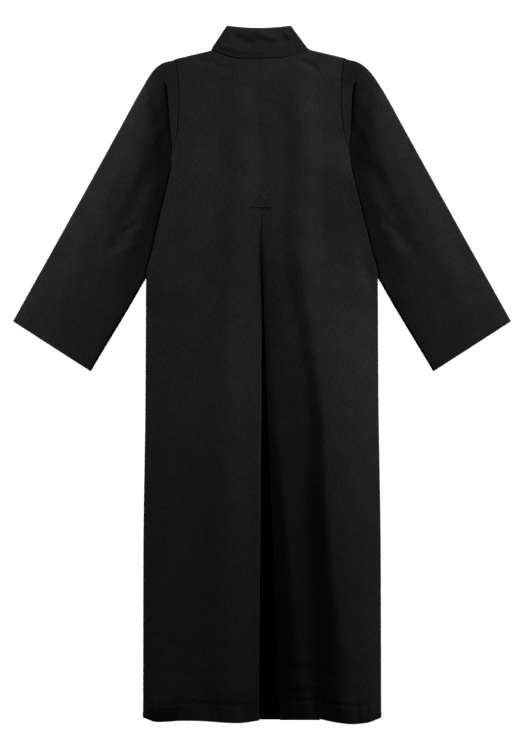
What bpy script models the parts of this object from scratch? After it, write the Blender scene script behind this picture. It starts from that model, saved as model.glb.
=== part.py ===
"""Cassock: an ankle-length clerical robe with a stand collar, long set-in sleeves and an inverted
pleat at the centre back. It lies on its front, so the back is uppermost and the collar points to +Y.

Every piece of cloth is a thin wall. Each is a grid of points on the cloth's outer face, worked out
from the sizes below, and Solidify gives it the cloth's thickness inwards. X runs across the
garment, Y up it, and Z up from the surface that it lies on. All sizes are in metres.
"""

import math
from collections import namedtuple

import bmesh
import bpy

# --- Cloth -----------------------------------------------------------------------------------
CLOTH = 0.0012  # the suiting's wall
COLLAR_CLOTH = 0.0026  # the collar's two layers and their interlining
GAP = 0.0003  # clear space between two pieces, at a seam or where one lies on another
SEAM_GAP = 0.0005  # the same, where the back's curved edge comes down to the front's

# --- Body ------------------------------------------------------------------------------------
NECK_HALF = 0.1065  # centre back to the point where collar, back and front meet
NECK_SIDE_Y = 0.6965
NECK_BACK_Y = 0.6773  # neck seam at the centre back
NECK_FRONT_Y = 0.6150  # neck seam at the centre front, underneath
SHOULDER_HALF = 0.1845  # centre back to the armhole seam, at the shoulder
SHOULDER_Y = 0.6780
UNDERARM_Y = 0.4676
HIP_Y = 0.2075  # the side seam runs out to here, then nearly straight down
HEM_Y = -0.745  # the hem's general level
FRONT_SHORTER = 0.003  # the front's hem stops this far above the back's
HEM_TURN = 0.038  # the hem's depth, from its edge up to the stitching
HEM_GROOVE = 0.0007  # how far the stitching draws the cloth in
HEM_GROOVE_REACH = 0.005  # to each side of the stitching

# --- Centre-back pleat -----------------------------------------------------------------------
PLEAT_TOP_Y = 0.3590
PLEAT_TURN = 0.070  # how far each fold turns under, above the hem
PLEAT_TURN_HEM = 0.085
SEAM_TURN = 0.010  # the pressed-open seam allowance above the pleat
PLEAT_OPENS_OVER = 0.045  # the turn widens from the allowance to the pleat over this length
SEAM_FOLD = 0.0015  # outer radius of the fold along the centre-back seam
PLEAT_FOLD = 0.0020  # outer radius of the fold along the pleat
PLEAT_ROLL = 0.0024  # how far the back rolls down beside the pleat's right fold
PLEAT_ROLL_WIDTH = 0.024
PLEAT_ROLL_GROWS = 0.340  # it reaches that over this length below the pleat's top
TURN_SETTLES_OVER = 0.045  # width over which a turned layer comes down from its fold to its base
UNDERLAY_SHORTER = 0.004  # the underlay's hem stops this far above the back's

# --- Heights above the surface that the garment lies on ----------------------------------------
FRONT_TOP = CLOTH
LAP = 0.020  # the fronts overlap this far on each side of the centre front
LAP_LIFT = CLOTH + GAP
SEAM_BASE = FRONT_TOP + LAP_LIFT + GAP  # the centre-back seam allowances lie on the fronts
UNDERLAY_BASE = SEAM_BASE
TURN_BASE = UNDERLAY_BASE + CLOTH + GAP  # the pleat's turned folds lie on the underlay
TURN_DROPS_OVER = 0.030
SLEEVE_LIFT = 0.0050  # how far the body's side is held up by the sleeve that passes beneath it
LIFT_WIDTH = 0.030  # the lift is full this far in from the side seam
LIFT_EASE = 0.045  # and has died out after this much more
LIFT_EASE_BACK = 0.065  # the same, in the back
LIFT_SHOWN = 0.7  # the share of the lift that shows in the back
LIFT_ABOVE = 0.055  # it begins this far above the underarm, and grows on the way down to it
LIFT_BELOW = 0.090  # it ends this far below the hip, after fading over the next length
LIFT_FADES_OVER = 0.080
EDGE_ROLL = 0.0065  # width over which the back rolls down to its side and shoulder seams
ROLL_STARTS_OVER = 0.016  # the side's roll grows over this length above the underarm
SHOULDER_BLEND = (0.003, 0.005)  # the shoulder's roll grows from here inside the neck point to here

# --- Sleeves ---------------------------------------------------------------------------------
SLEEVE_EDGE = 0.0070  # height along the rolled fold at each edge
SLEEVE_LOFT = 0.0148  # height along the middle of the upper arm
CUFF_LOFT = 0.0105  # height along the middle of the cuff
CREST_PLACE = 0.86  # sets the crest nearer the upper edge, below 1, than the underarm
SLEEVE_INNER = 0.0046  # height where the sleeve passes beneath the body's side
SLEEVE_ROLL = 0.0036  # half width of the rolled fold along each edge
SLEEVE_TAPER = 0.450  # the loft falls from the upper arm's to the cuff's over this rise
BESIDE_BODY = 0.014  # below the underarm the sleeve stays pressed flat this far out from the body
BESIDE_BODY_EASE = 0.045  # and has its own height after this much more
BESIDE_SEAM = 0.022  # above the underarm it carries on from the back for this far
BESIDE_SEAM_EASE = 0.060
UNDERARM_SHARE = 0.86  # a ring begins to flatten towards the underarm here on its way round
CREASE_TOP_Y = 0.6380  # where the crease beside the armhole dies out
CREASE_TOP_EASE = 0.045
CREASE_DEPTH = 0.0045
CREASE_FLOOR = 0.0030  # the least height that holds the sleeve's two layers

# --- Collar ----------------------------------------------------------------------------------
COLLAR_TOP_HALF = 0.0688
COLLAR_TOP_Y = 0.7495  # the collar's top corners
COLLAR_TOP_DIP = 0.0050  # how far the top edge sags between them
COLLAR_LEAN = 0.0065  # the collar's top leans this far towards the left sleeve
COLLAR_HEIGHT_FRONT = 0.066
COLLAR_LIFT = 0.0006  # the collar's thicker edge stands this far above the back's
COLLAR_OPENING = 0.0015  # each end stops this far from the centre front

# --- Stitched triangle over the top of the pleat ------------------------------------------------
TACK_HALF = 0.0210
TACK_HEIGHT = 0.0300
TACK_POINT_HALF = 0.0015
TACK_CLOTH = 0.0010

BLACK_SUITING = (0.0110, 0.0110, 0.0115, 1.0)

# Half the body's width at each height: the armhole seam down to the underarm, then the side seam.
SideRow = namedtuple("SideRow", "y half")
SIDE = (
    SideRow(-0.760, 0.2550),
    SideRow(-0.400, 0.2545),
    SideRow(-0.055, 0.2500),
    SideRow(HIP_Y, 0.2475),
    SideRow(0.259, 0.2390),
    SideRow(UNDERARM_Y, 0.1920),
    SideRow(0.500, 0.1855),
    SideRow(0.540, 0.1790),
    SideRow(0.590, 0.1767),
    SideRow(0.640, 0.1785),
    SideRow(SHOULDER_Y, SHOULDER_HALF),
)

# The hem's edge, from the wearer's left side seam to the right: it swings down where a fold ends.
HemRow = namedtuple("HemRow", "x y")
HEM = (
    HemRow(-0.2550, -0.7345),
    HemRow(-0.2250, -0.7445),
    HemRow(-0.1450, -0.7405),
    HemRow(-0.0450, -0.7455),
    HemRow(0.0000, -0.7405),
    HemRow(0.0350, -0.7360),
    HemRow(0.0900, -0.7355),
    HemRow(0.1400, -0.7415),
    HemRow(0.1850, -0.7455),
    HemRow(0.2200, -0.7430),
    HemRow(0.2550, -0.7330),
)

# Height of each half of the back along the centre, before the folds, and how much lower it lies at
# its side.
LevelRow = namedtuple("LevelRow", "y left right left_drop right_drop")
LEVEL = (
    LevelRow(-0.760, 0.0168, 0.0205, 0.0050, 0.0090),
    LevelRow(-0.600, 0.0162, 0.0190, 0.0050, 0.0085),
    LevelRow(-0.300, 0.0150, 0.0158, 0.0045, 0.0075),
    LevelRow(0.000, 0.0140, 0.0142, 0.0040, 0.0075),
    LevelRow(0.160, 0.0130, 0.0130, 0.0035, 0.0070),
    LevelRow(0.300, 0.0113, 0.0113, 0.0020, 0.0035),
    LevelRow(PLEAT_TOP_Y, 0.0102, 0.0102, 0.0010, 0.0015),
    LevelRow(0.460, 0.0070, 0.0070, 0.0, 0.0),
    LevelRow(0.540, 0.0061, 0.0061, 0.0, 0.0),
    LevelRow(0.700, 0.0061, 0.0061, 0.0, 0.0),
)

# The pleat's two fold edges: where each half of the back turns under.
EdgeRow = namedtuple("EdgeRow", "y left right")
PLEAT_EDGE = (
    EdgeRow(-0.760, -0.0070, 0.0400),
    EdgeRow(-0.350, -0.0040, 0.0240),
    EdgeRow(-0.050, -0.0010, 0.0110),
    EdgeRow(0.150, -0.0006, 0.0035),
    EdgeRow(PLEAT_TOP_Y - PLEAT_OPENS_OVER, -GAP / 2, GAP / 2),
    EdgeRow(0.700, -GAP / 2, GAP / 2),
)

# The main fold, a broad ridge down the wearer's right: its crest, its rise, and the step down its
# left side, which is the steep part of that rise. Its right flank runs on past the side seam.
RidgeRow = namedtuple("RidgeRow", "y x rise step width tail")
RIDGE = (
    RidgeRow(-0.760, 0.1840, 0.0160, 0.0128, 0.082, 0.045),
    RidgeRow(-0.615, 0.1760, 0.0160, 0.0128, 0.078, 0.045),
    RidgeRow(-0.530, 0.1670, 0.0157, 0.0128, 0.070, 0.045),
    RidgeRow(-0.440, 0.1580, 0.0152, 0.0124, 0.062, 0.045),
    RidgeRow(-0.355, 0.1500, 0.0145, 0.0114, 0.055, 0.045),
    RidgeRow(-0.270, 0.1420, 0.0138, 0.0102, 0.050, 0.040),
    RidgeRow(-0.185, 0.1380, 0.0125, 0.0080, 0.042, 0.032),
    RidgeRow(-0.098, 0.1330, 0.0110, 0.0060, 0.034, 0.022),
    RidgeRow(-0.012, 0.1230, 0.0100, 0.0048, 0.034, 0.012),
    RidgeRow(0.074, 0.1110, 0.0092, 0.0040, 0.036, 0.004),
    RidgeRow(0.160, 0.0980, 0.0080, 0.0030, 0.040, 0.004),
    RidgeRow(0.230, 0.0850, 0.0066, 0.0020, 0.042, 0.006),
    RidgeRow(0.300, 0.0720, 0.0035, 0.0010, 0.042, 0.010),
    RidgeRow(0.460, 0.0600, 0.0, 0.0, 0.042, 0.030),
)
RIDGE_FOOT = 0.125  # width of the rest of the rise on its left

# Lesser folds in the back, each growing from its top to the hem: x is its crest, left and right its
# half widths at the hem, and rise its height (a trough's is negative).
Fold = namedtuple("Fold", "x_top y_top x_hem left right rise")
FOLDS = (
    Fold(0.000, 0.060, 0.0350, 0.040, 0.062, -0.0091),
    Fold(-0.070, 0.480, -0.0800, 0.110, 0.078, 0.0058),
    Fold(-0.110, 0.300, -0.1250, 0.030, 0.034, -0.0007),
    Fold(-0.200, 0.260, -0.2120, 0.060, 0.045, 0.0010),
)
FOLD_GROWTH = 0.8  # below 1, the folds stand up sooner on their way down
FOLD_NARROW = 0.3  # a fold's width at its top, as a share of that at the hem

# Rings round the sleeve, from the armhole to the cuff: each runs straight from its point on the
# upper edge to its point on the underarm edge. The first, the armhole, follows the back's seam.
RingRow = namedtuple("RingRow", "name upper_x upper_y under_x under_y crease")
RINGS = (
    RingRow("armhole", SHOULDER_HALF, SHOULDER_Y, 0.1920, UNDERARM_Y, 0.0),
    RingRow("fold", 0.2060, 0.6712, 0.1940, UNDERARM_Y - 0.0020, 0.0),
    RingRow("fold_side", 0.2085, 0.6703, 0.1950, UNDERARM_Y - 0.0045, 0.55),
    RingRow("fold_foot", 0.2120, 0.6688, 0.1965, UNDERARM_Y - 0.0080, 1.0),
    RingRow("shoulder", 0.2225, 0.6625, 0.1955, 0.4480, 0.9),
    RingRow("upper_arm", 0.2345, 0.6505, 0.1925, 0.4250, 0.8),
    RingRow("sleeve_head", 0.2590, 0.6120, 0.1900, 0.3850, 0.6),
    RingRow("arm", 0.3055, 0.5280, 0.2000, 0.3100, 0.3),
    RingRow("elbow", 0.3655, 0.4190, 0.2390, 0.2265, 0.0),
    RingRow("cuff", 0.5350, 0.1145, 0.3675, 0.0065, 0.0),
)
RINGS_BETWEEN = {"upper_arm": 1, "sleeve_head": 2, "arm": 2, "elbow": 5}  # extra rings after these


# --- Curves ----------------------------------------------------------------------------------
def smooth(t):
    """Eases from 0 to 1 as t does."""
    t = min(max(t, 0.0), 1.0)
    return t * t * (3 - 2 * t)


def mix(a, b, t):
    return a + (b - a) * t


def hump(t):
    """A soft ridge's height: 1 at t = 0, and 0 from t = 1 on."""
    return math.cos(min(abs(t), 1.0) * math.pi / 2) ** 2


def round_over(t):
    """A quarter circle's height, from 0 at t = 0 to 1 from t = 1 on."""
    t = min(max(t, 0.0), 1.0)
    return math.sqrt(1 - (1 - t) ** 2)


def read(table, at, column):
    """The column's value where a table's first column is at, on a curve through its rows."""
    keys = [row[0] for row in table]
    values = [getattr(row, column) for row in table]
    at = min(max(at, keys[0]), keys[-1])
    i = max(k for k in range(len(keys) - 1) if keys[k] <= at)
    slopes = [(values[k + 1] - values[k]) / (keys[k + 1] - keys[k]) for k in range(len(keys) - 1)]

    def tangent(k):
        if k == 0 or k == len(slopes):
            return slopes[min(k, len(slopes) - 1)]
        before, after = slopes[k - 1], slopes[k]
        if before * after <= 0:
            return 0.0
        return 2 * before * after / (before + after)

    span = keys[i + 1] - keys[i]
    t = (at - keys[i]) / span
    start = values[i] * (1 + 2 * t) * (1 - t) ** 2 + values[i + 1] * t * t * (3 - 2 * t)
    return start + span * t * (1 - t) * (tangent(i) * (1 - t) - tangent(i + 1) * t)


def side_half(y):
    return read(SIDE, y, "half")


# --- Cut of the body -------------------------------------------------------------------------
def neck_back_y(x):
    """The back's neck seam, a shallow scoop."""
    return mix(NECK_BACK_Y, NECK_SIDE_Y, min(abs(x) / NECK_HALF, 1.0) ** 2)


def neck_front_y(x):
    """The front's neck seam, a deeper scoop."""
    return mix(NECK_FRONT_Y, NECK_SIDE_Y, min(abs(x) / NECK_HALF, 1.0) ** 2.6)


def top_y(x, neck_y):
    """The top edge of a body panel: its neck seam, then the sloping shoulder."""
    x = abs(x)
    if x <= NECK_HALF:
        return neck_y(x)
    return mix(NECK_SIDE_Y, SHOULDER_Y, (x - NECK_HALF) / (SHOULDER_HALF - NECK_HALF))


def pleat_turn(y):
    """How far the back turns under at its centre."""
    opened = smooth((PLEAT_TOP_Y - y) / PLEAT_OPENS_OVER)
    turn = mix(PLEAT_TURN, PLEAT_TURN_HEM, smooth((PLEAT_TOP_Y - y) / (PLEAT_TOP_Y - HEM_Y)))
    return mix(SEAM_TURN, turn, opened)


# --- Heights ---------------------------------------------------------------------------------
def side_lift(y):
    """How far the sleeve underneath lifts the body's side seam."""
    above = smooth((UNDERARM_Y + LIFT_ABOVE - y) / LIFT_ABOVE)
    below = smooth((y - (HIP_Y - LIFT_BELOW)) / LIFT_FADES_OVER)
    return SLEEVE_LIFT * above * below


def front_height(x, y):
    """The front's outer face, which is its underside: flat but for the side over the sleeve."""
    inset = side_half(y) - abs(x)
    return side_lift(y) * (1 - smooth((inset - LIFT_WIDTH) / LIFT_EASE))


def fold_height(x, y):
    """What the folds add to the back at this point."""
    total = 0.0
    for fold in FOLDS:
        down = max(fold.y_top - y, 0.0) / (fold.y_top - HEM_Y)
        off = x - mix(fold.x_top, fold.x_hem, down)
        width = (fold.left if off < 0 else fold.right) * mix(FOLD_NARROW, 1.0, down)
        total += fold.rise * smooth(down**FOLD_GROWTH) * hump(off / width)
    crest, rise = read(RIDGE, y, "x"), read(RIDGE, y, "rise")
    if x < crest:
        step = read(RIDGE, y, "step")
        total += step * hump((x - crest) / read(RIDGE, y, "width"))
        return total + (rise - step) * hump((x - crest) / RIDGE_FOOT)
    flank = (x - crest) / (side_half(y) + read(RIDGE, y, "tail") - crest)
    return total + rise * math.cos(flank * math.pi / 2)


def pleat_roll(x, y):
    """How far the wearer's right half rolls down beside the pleat's fold."""
    if x < 0:
        return 0.0
    beside = x - read(PLEAT_EDGE, y, "right")
    opened = smooth((PLEAT_TOP_Y - y) / PLEAT_ROLL_GROWS)
    return PLEAT_ROLL * opened * (1 - round_over(beside / PLEAT_ROLL_WIDTH))


def hem_groove(y, hem_y):
    """The shallow groove that the hem's stitching draws in the cloth."""
    return HEM_GROOVE * max(0.0, 1 - abs(y - hem_y - HEM_TURN) / HEM_GROOVE_REACH)


def back_height(x, y, neck_inset, hem_y=HEM_Y):
    """The back's outer face at a point that lies neck_inset below the panel's top edge."""
    inset = side_half(y) - abs(x)
    lifted = LIFT_SHOWN * side_lift(y) * (1 - smooth((inset - LIFT_WIDTH) / LIFT_EASE_BACK))
    half = "left" if x < 0 else "right"
    drop = read(LEVEL, y, half + "_drop") * (x / side_half(y)) ** 2
    full = read(LEVEL, y, half) - drop + lifted + fold_height(x, y) - pleat_roll(x, y)
    seam = FRONT_TOP + SEAM_GAP + side_lift(y)
    below_arm = smooth((UNDERARM_Y + ROLL_STARTS_OVER - y) / ROLL_STARTS_OVER)
    on_shoulder = smooth((abs(x) - NECK_HALF + SHOULDER_BLEND[0]) / sum(SHOULDER_BLEND))
    rolled = mix(1.0, round_over(inset / EDGE_ROLL), below_arm)
    rolled *= mix(1.0, round_over(neck_inset / EDGE_ROLL), on_shoulder)
    return mix(seam, full, rolled) - hem_groove(y, hem_y) * smooth((inset - 0.003) / 0.012)


# --- Making a wall of cloth --------------------------------------------------------------------
def suiting(name, colour=BLACK_SUITING, roughness=0.85):
    """Black worsted suiting: matt, with no metallic sheen."""
    material = bpy.data.materials.new(name)
    material.use_nodes = True
    shader = material.node_tree.nodes["Principled BSDF"]
    shader.inputs["Base Color"].default_value = colour
    shader.inputs["Roughness"].default_value = roughness
    shader.inputs["Metallic"].default_value = 0.0
    return material


def cloth_wall(name, rows, material, collection, thickness=CLOTH, tube=False):
    """A wall of cloth whose outer face goes through rows of points, counted so that they run
    anticlockwise as seen from outside: across each row, then row by row. A tube's rows are rings."""
    across = len(rows[0])
    bm = bmesh.new()
    bmesh.ops.create_grid(bm, x_segments=across - 1, y_segments=len(rows) - 1, size=1.0)
    bm.verts.ensure_lookup_table()
    for index, vertex in enumerate(bm.verts):
        vertex.co = rows[index // across][index % across]
    if tube:
        bmesh.ops.remove_doubles(bm, verts=bm.verts, dist=1e-6)
    mesh = bpy.data.meshes.new(name)
    bm.to_mesh(mesh)
    bm.free()
    mesh.shade_smooth()
    mesh.materials.append(material)
    wall = bpy.data.objects.new(name, mesh)
    collection.objects.link(wall)
    solidify = wall.modifiers.new("cloth", "SOLIDIFY")
    solidify.thickness = thickness
    solidify.offset = -1.0
    solidify.use_even_offset = True
    return wall


# --- The back ----------------------------------------------------------------------------------
TOP_INSETS = (0.0, 0.0004, 0.0016, 0.0036, EDGE_ROLL, 0.024)
HEM_INSETS = (HEM_TURN + HEM_GROOVE_REACH, HEM_TURN, HEM_TURN - HEM_GROOVE_REACH, 0.0)
BODY_SHARES = (0.042, 0.062, 0.085, 0.108, 0.128, 0.141, 0.152, 0.172, 0.20, 0.24, 0.28, 0.325,
               0.37, 0.43, 0.51, 0.60, 0.69, 0.78, 0.87, 0.93)


def body_rows():
    """(share of the way from the top edge to the hem, distance below that) for each row."""
    rows = [(0.0, -inset) for inset in TOP_INSETS]
    rows += [(share, 0.0) for share in BODY_SHARES]
    rows += [(1.0, inset) for inset in HEM_INSETS]
    return rows


NECK_COLUMNS = 9
SHOULDER_COLUMNS = 6
EDGE_ANGLES = (72, 48, 24, 0)  # down the rolled side, in degrees from the horizontal


def back_columns():
    """(part, place) for each column, from the turned-under edge to the side seam. One column runs
    down from the point where the neck meets the shoulder."""
    neck = (NECK_HALF - SEAM_FOLD) / (SHOULDER_HALF - EDGE_ROLL - SEAM_FOLD)
    columns = [("turn", share) for share in (1.0, 0.7, 0.42, 0.2)]
    columns += [("fold", degrees) for degrees in (-90, -45, 0, 45)]
    columns += [("top", neck * step / NECK_COLUMNS) for step in range(NECK_COLUMNS)]
    columns += [
        ("top", mix(neck, 1.0, step / SHOULDER_COLUMNS)) for step in range(SHOULDER_COLUMNS + 1)
    ]
    columns += [("edge", degrees) for degrees in EDGE_ANGLES]
    return columns


def across_top(part, place):
    """How far from the centre a column starts, at the top edge."""
    if part == "top":
        return mix(SEAM_FOLD, SHOULDER_HALF - EDGE_ROLL, place)
    if part == "edge":
        return SHOULDER_HALF - EDGE_ROLL * (1 - math.cos(math.radians(place)))
    return 0.0


def back_row(side, share, offset):
    """One row of the back's points, from its centre to its side. side is -1 or 1."""
    points = []
    for part, place in back_columns():
        start = across_top(part, place)
        top = top_y(start, neck_back_y)
        hem_y = read(HEM, side * start / SHOULDER_HALF * side_half(HEM_Y), "y")
        y = mix(top, hem_y, share) + offset
        edge_x = side * read(PLEAT_EDGE, y, "left" if side < 0 else "right")
        fold = mix(SEAM_FOLD, PLEAT_FOLD, smooth((PLEAT_TOP_Y - y) / PLEAT_OPENS_OVER))
        half = side_half(y)

        def height(x, y=y, top=top, hem_y=hem_y):
            return back_height(side * x, y, top - y, hem_y)

        crown = height(edge_x + fold)
        on_underlay = smooth((PLEAT_TOP_Y + TURN_DROPS_OVER - y) / TURN_DROPS_OVER)
        base = min(mix(SEAM_BASE, TURN_BASE, on_underlay), crown - 2 * fold)
        if part == "turn":
            inset = fold + place * (pleat_turn(y) - fold)
            x = edge_x + inset
            settled = smooth((inset - fold) / TURN_SETTLES_OVER)
            z = mix(crown - 2 * fold, base, settled)
        elif part == "fold":
            angle = math.radians(place)
            x = edge_x + fold * (1 - math.cos(angle))
            z = crown - fold + fold * math.sin(angle)
        elif part == "top":
            x = mix(edge_x + fold, half - EDGE_ROLL, place)
            z = height(x)
        else:
            x = half - EDGE_ROLL * (1 - math.cos(math.radians(place)))
            z = height(x)
        points.append((side * x, y, z))
    return points if side > 0 else points[::-1]


def make_back(side, material, collection):
    rows = [back_row(side, share, offset) for share, offset in body_rows()][::-1]
    name = "back_left" if side < 0 else "back_right"
    return cloth_wall(name, rows, material, collection)


# --- The pleat's underlay ------------------------------------------------------------------------
def make_underlay(material, collection):
    """The strip behind the pleat. It joins the two turned edges, one under each."""
    lowest = HEM_Y + UNDERLAY_SHORTER
    heights = [mix(lowest, PLEAT_TOP_Y - PLEAT_OPENS_OVER / 2, step / 12) for step in range(13)]
    rows = []
    for y in heights:
        left = read(PLEAT_EDGE, y, "left") - pleat_turn(y)
        right = read(PLEAT_EDGE, y, "right") + pleat_turn(y)
        rows.append([(mix(left, right, step / 6), y, UNDERLAY_BASE + CLOTH) for step in range(7)])
    return cloth_wall("pleat_underlay", rows, material, collection)


# --- The fronts ----------------------------------------------------------------------------------
FRONT_SHARES = (0.0, 0.014, 0.030, 0.062, 0.085, 0.108, 0.128, 0.141, 0.152, 0.172, 0.20, 0.24, 0.28,
                0.325, 0.37, 0.43, 0.51, 0.69, 0.87, 1.0)
FRONT_MIDDLES = 7  # columns between the lap and the lifted side
FRONT_INSETS = (LIFT_WIDTH + LIFT_EASE, LIFT_WIDTH + LIFT_EASE / 2, LIFT_WIDTH, 0.0)
LAP_STEP = 0.010  # the right front comes down from over the left one's edge within this width
TAPERS_OVER = 0.08  # the share of its length in which a column moves from shoulder to body places


def front_row(side, share):
    """One row of a front, from its lapped edge to its side seam. The wearer's left front is
    outermost, so it lies lowest, and the right one steps up over its edge."""

    def across(part, place, half):
        if part == "centre":
            return place
        if part == "middle":
            return mix(LAP + LAP_STEP, half - FRONT_INSETS[0], place)
        return half - place

    points = []
    columns = [("centre", x) for x in (-LAP, 0.0, LAP, LAP + LAP_STEP)]
    columns += [("middle", (step + 1) / (FRONT_MIDDLES + 1)) for step in range(FRONT_MIDDLES)]
    columns += [("side", inset) for inset in FRONT_INSETS]
    for part, place in columns:
        start = across(part, place, SHOULDER_HALF)
        hem_y = read(HEM, side * start / SHOULDER_HALF * side_half(HEM_Y), "y") + FRONT_SHORTER
        y = mix(top_y(start, neck_front_y), hem_y, share)
        x = across(part, place, side_half(y))
        if part == "middle":
            x = mix(start, x, smooth(share / TAPERS_OVER))
        lifted = LAP_LIFT * (1 - smooth((x - LAP) / LAP_STEP)) if side > 0 else 0.0
        points.append((side * x, y, front_height(x, y) + lifted))
    return points[::-1] if side > 0 else points


def make_front(side, material, collection):
    rows = [front_row(side, share) for share in FRONT_SHARES][::-1]
    name = "front_left" if side < 0 else "front_right"
    return cloth_wall(name, rows, material, collection)


# --- The sleeves -----------------------------------------------------------------------------------
TOP_SHARES = (0.10, 0.20, 0.32, 0.45, 0.58, 0.71, 0.84, 0.93)
FLOOR_SHARES = (0.90, 0.72, 0.54, 0.36, 0.20, 0.07)
ROLL_ANGLES = (-60, -20, 20, 60)


def sleeve_rings():
    """The table's rings, with the extra ones between them."""
    rings = []
    for ring, following in zip(RINGS, RINGS[1:]):
        steps = RINGS_BETWEEN.get(ring.name, 0) + 1
        for step in range(steps):
            t = step / steps
            values = [mix(a, b, t) for a, b in zip(ring[1:], following[1:])]
            rings.append(RingRow(ring.name if step == 0 else "between", *values))
    rings.append(RINGS[-1])
    return rings


def sleeve_place(ring, share):
    """Where a ring passes over, in plan, share of the way from the upper edge to the underarm."""
    y = mix(ring.upper_y, ring.under_y, share)
    if ring.name == "armhole":
        return side_half(y) + 2 * GAP, y
    return mix(ring.upper_x, ring.under_x, share), y


def sleeve_height(ring, share):
    """The sleeve's upper face. By the armhole it carries on from the back and the crease drops it,
    beside the body it is pressed flat, and along the arm it is a low dome."""
    x, y = sleeve_place(ring, share)
    loft = mix(CUFF_LOFT, SLEEVE_LOFT, smooth((ring.upper_y - RINGS[-1].upper_y) / SLEEVE_TAPER))
    own = mix(SLEEVE_EDGE, loft, math.sin(math.pi * share**CREST_PLACE))
    if y < UNDERARM_Y:
        beside = x - side_half(y) - BESIDE_BODY
        return mix(SLEEVE_INNER, own, smooth(beside / BESIDE_BODY_EASE))
    flattens = smooth((share - UNDERARM_SHARE) / (1 - UNDERARM_SHARE))
    carried = mix(back_height(side_half(y), y, 1.0), SLEEVE_INNER, flattens)
    sunk = ring.crease * CREASE_DEPTH * smooth((CREASE_TOP_Y - y) / CREASE_TOP_EASE) * (1 - flattens)
    away = smooth((x - side_half(y) - BESIDE_SEAM) / BESIDE_SEAM_EASE)
    return max(mix(carried, own, away) - sunk, CREASE_FLOOR)


def sleeve_ring(side, ring):
    """The closed outline of one ring: over the top, round the underarm, back along the floor and
    round the upper edge."""
    width = math.dist(sleeve_place(ring, 0.0), sleeve_place(ring, 1.0))
    roll = SLEEVE_ROLL / width
    upper, under = sleeve_height(ring, 0.0), sleeve_height(ring, 1.0)
    section = [(share, sleeve_height(ring, share)) for share in TOP_SHARES]
    for degrees in ROLL_ANGLES[::-1]:
        angle = math.radians(degrees)
        section.append((1 - roll * (1 - math.cos(angle)), under / 2 * (1 + math.sin(angle))))
    section += [(share, 0.0) for share in FLOOR_SHARES]
    for degrees in ROLL_ANGLES:
        angle = math.radians(degrees)
        section.append((roll * (1 - math.cos(angle)), upper / 2 * (1 + math.sin(angle))))
    section.append(section[0])
    points = []
    for share, z in section:
        x, y = sleeve_place(ring, share)
        points.append((side * x, y, z))
    return points if side > 0 else points[::-1]


def make_sleeve(side, material, collection):
    rows = [sleeve_ring(side, ring) for ring in sleeve_rings()]
    name = "sleeve_left" if side < 0 else "sleeve_right"
    return cloth_wall(name, rows, material, collection, tube=True)


# --- The collar --------------------------------------------------------------------------------------
COLLAR_ROWS = 4


def collar_line(up):
    """The collar's outline at one height, as seen from above: along the underside from one end to
    the fold at the side, across the back, and to the other end. up is 0 at the neck seam."""
    half = mix(NECK_HALF, COLLAR_TOP_HALF, up)
    side_y = mix(NECK_SIDE_Y, COLLAR_TOP_Y, up)
    top = back_height(0.0, NECK_BACK_Y, 1.0) + COLLAR_LIFT
    roll = top / 2

    def back_y(x):
        sag = mix(NECK_SIDE_Y - NECK_BACK_Y, COLLAR_TOP_DIP, up)
        return side_y - sag * (1 - (x / half) ** 2) + 2 * GAP * (1 - up)

    def front_y(x):
        base = neck_front_y(x / half * NECK_HALF)
        return mix(base + 2 * GAP, min(base + COLLAR_HEIGHT_FRONT, COLLAR_TOP_Y), up)

    right = []
    for share in (0.0, 0.25, 0.5, 0.75):
        x = mix(COLLAR_OPENING, half - roll, share)
        right.append((x, front_y(x), 0.0))
    for degrees in (-90, -45, 0, 45, 90):
        angle = math.radians(degrees)
        x = half - roll * (1 - math.cos(angle))
        y = front_y(x) if degrees < 0 else back_y(x)
        right.append((x, y, roll * (1 + math.sin(angle))))
    for share in (0.75, 0.5, 0.25):
        x = mix(0.0, half - roll, share)
        right.append((x, back_y(x), top))
    line = [(-x, y, z) for x, y, z in right] + [(0.0, back_y(0.0), top)] + right[::-1]
    lean = COLLAR_LEAN * round_over(up)
    return [(x - lean, y, z) for x, y, z in line]


def make_collar(material, collection):
    rows = [collar_line(row / COLLAR_ROWS) for row in range(COLLAR_ROWS + 1)]
    return cloth_wall("collar", rows, material, collection, thickness=COLLAR_CLOTH)


# --- The stitched triangle ------------------------------------------------------------------------------
def make_tack(material, collection):
    """A small triangle of cloth over the top of the pleat, laid on the back's own points."""
    rows = []
    for step in range(4):
        y = PLEAT_TOP_Y + TACK_HEIGHT * step / 3
        half = mix(TACK_HALF, TACK_POINT_HALF, step / 3)
        row = []
        for share in (-1.0, -0.5, 0.0, 0.5, 1.0):
            x = half * share
            row.append((x, y, back_height(x, y, 1.0) + GAP + TACK_CLOTH))
        rows.append(row)
    return cloth_wall("pleat_tack", rows, material, collection, thickness=TACK_CLOTH)


# --- The whole garment ------------------------------------------------------------------------------------
def clear_scene():
    for thing in list(bpy.data.objects):
        bpy.data.objects.remove(thing, do_unlink=True)


def main():
    clear_scene()
    collection = bpy.data.collections.new("cassock")
    bpy.context.scene.collection.children.link(collection)
    for side in (-1, 1):
        word = "left" if side < 0 else "right"
        make_back(side, suiting(f"back_{word}_suiting"), collection)
        make_front(side, suiting(f"front_{word}_suiting"), collection)
        make_sleeve(side, suiting(f"sleeve_{word}_suiting"), collection)
    make_underlay(suiting("underlay_suiting"), collection)
    make_collar(suiting("collar_suiting"), collection)
    make_tack(suiting("tack_suiting"), collection)


main()
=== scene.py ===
"""Cassock: how it looks. An ankle-length clerical robe of black suiting lies on its front, with its
back uppermost, on a pale floor under soft studio light.

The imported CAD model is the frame. Each piece of cloth here is a thin shell in its CAD node's place,
on the same cut, with the finer creases, rolled edges, seams and stitching that the solids leave out.
X runs across the garment, Y up it, and Z up from the floor. All sizes are in metres.
"""

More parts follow.
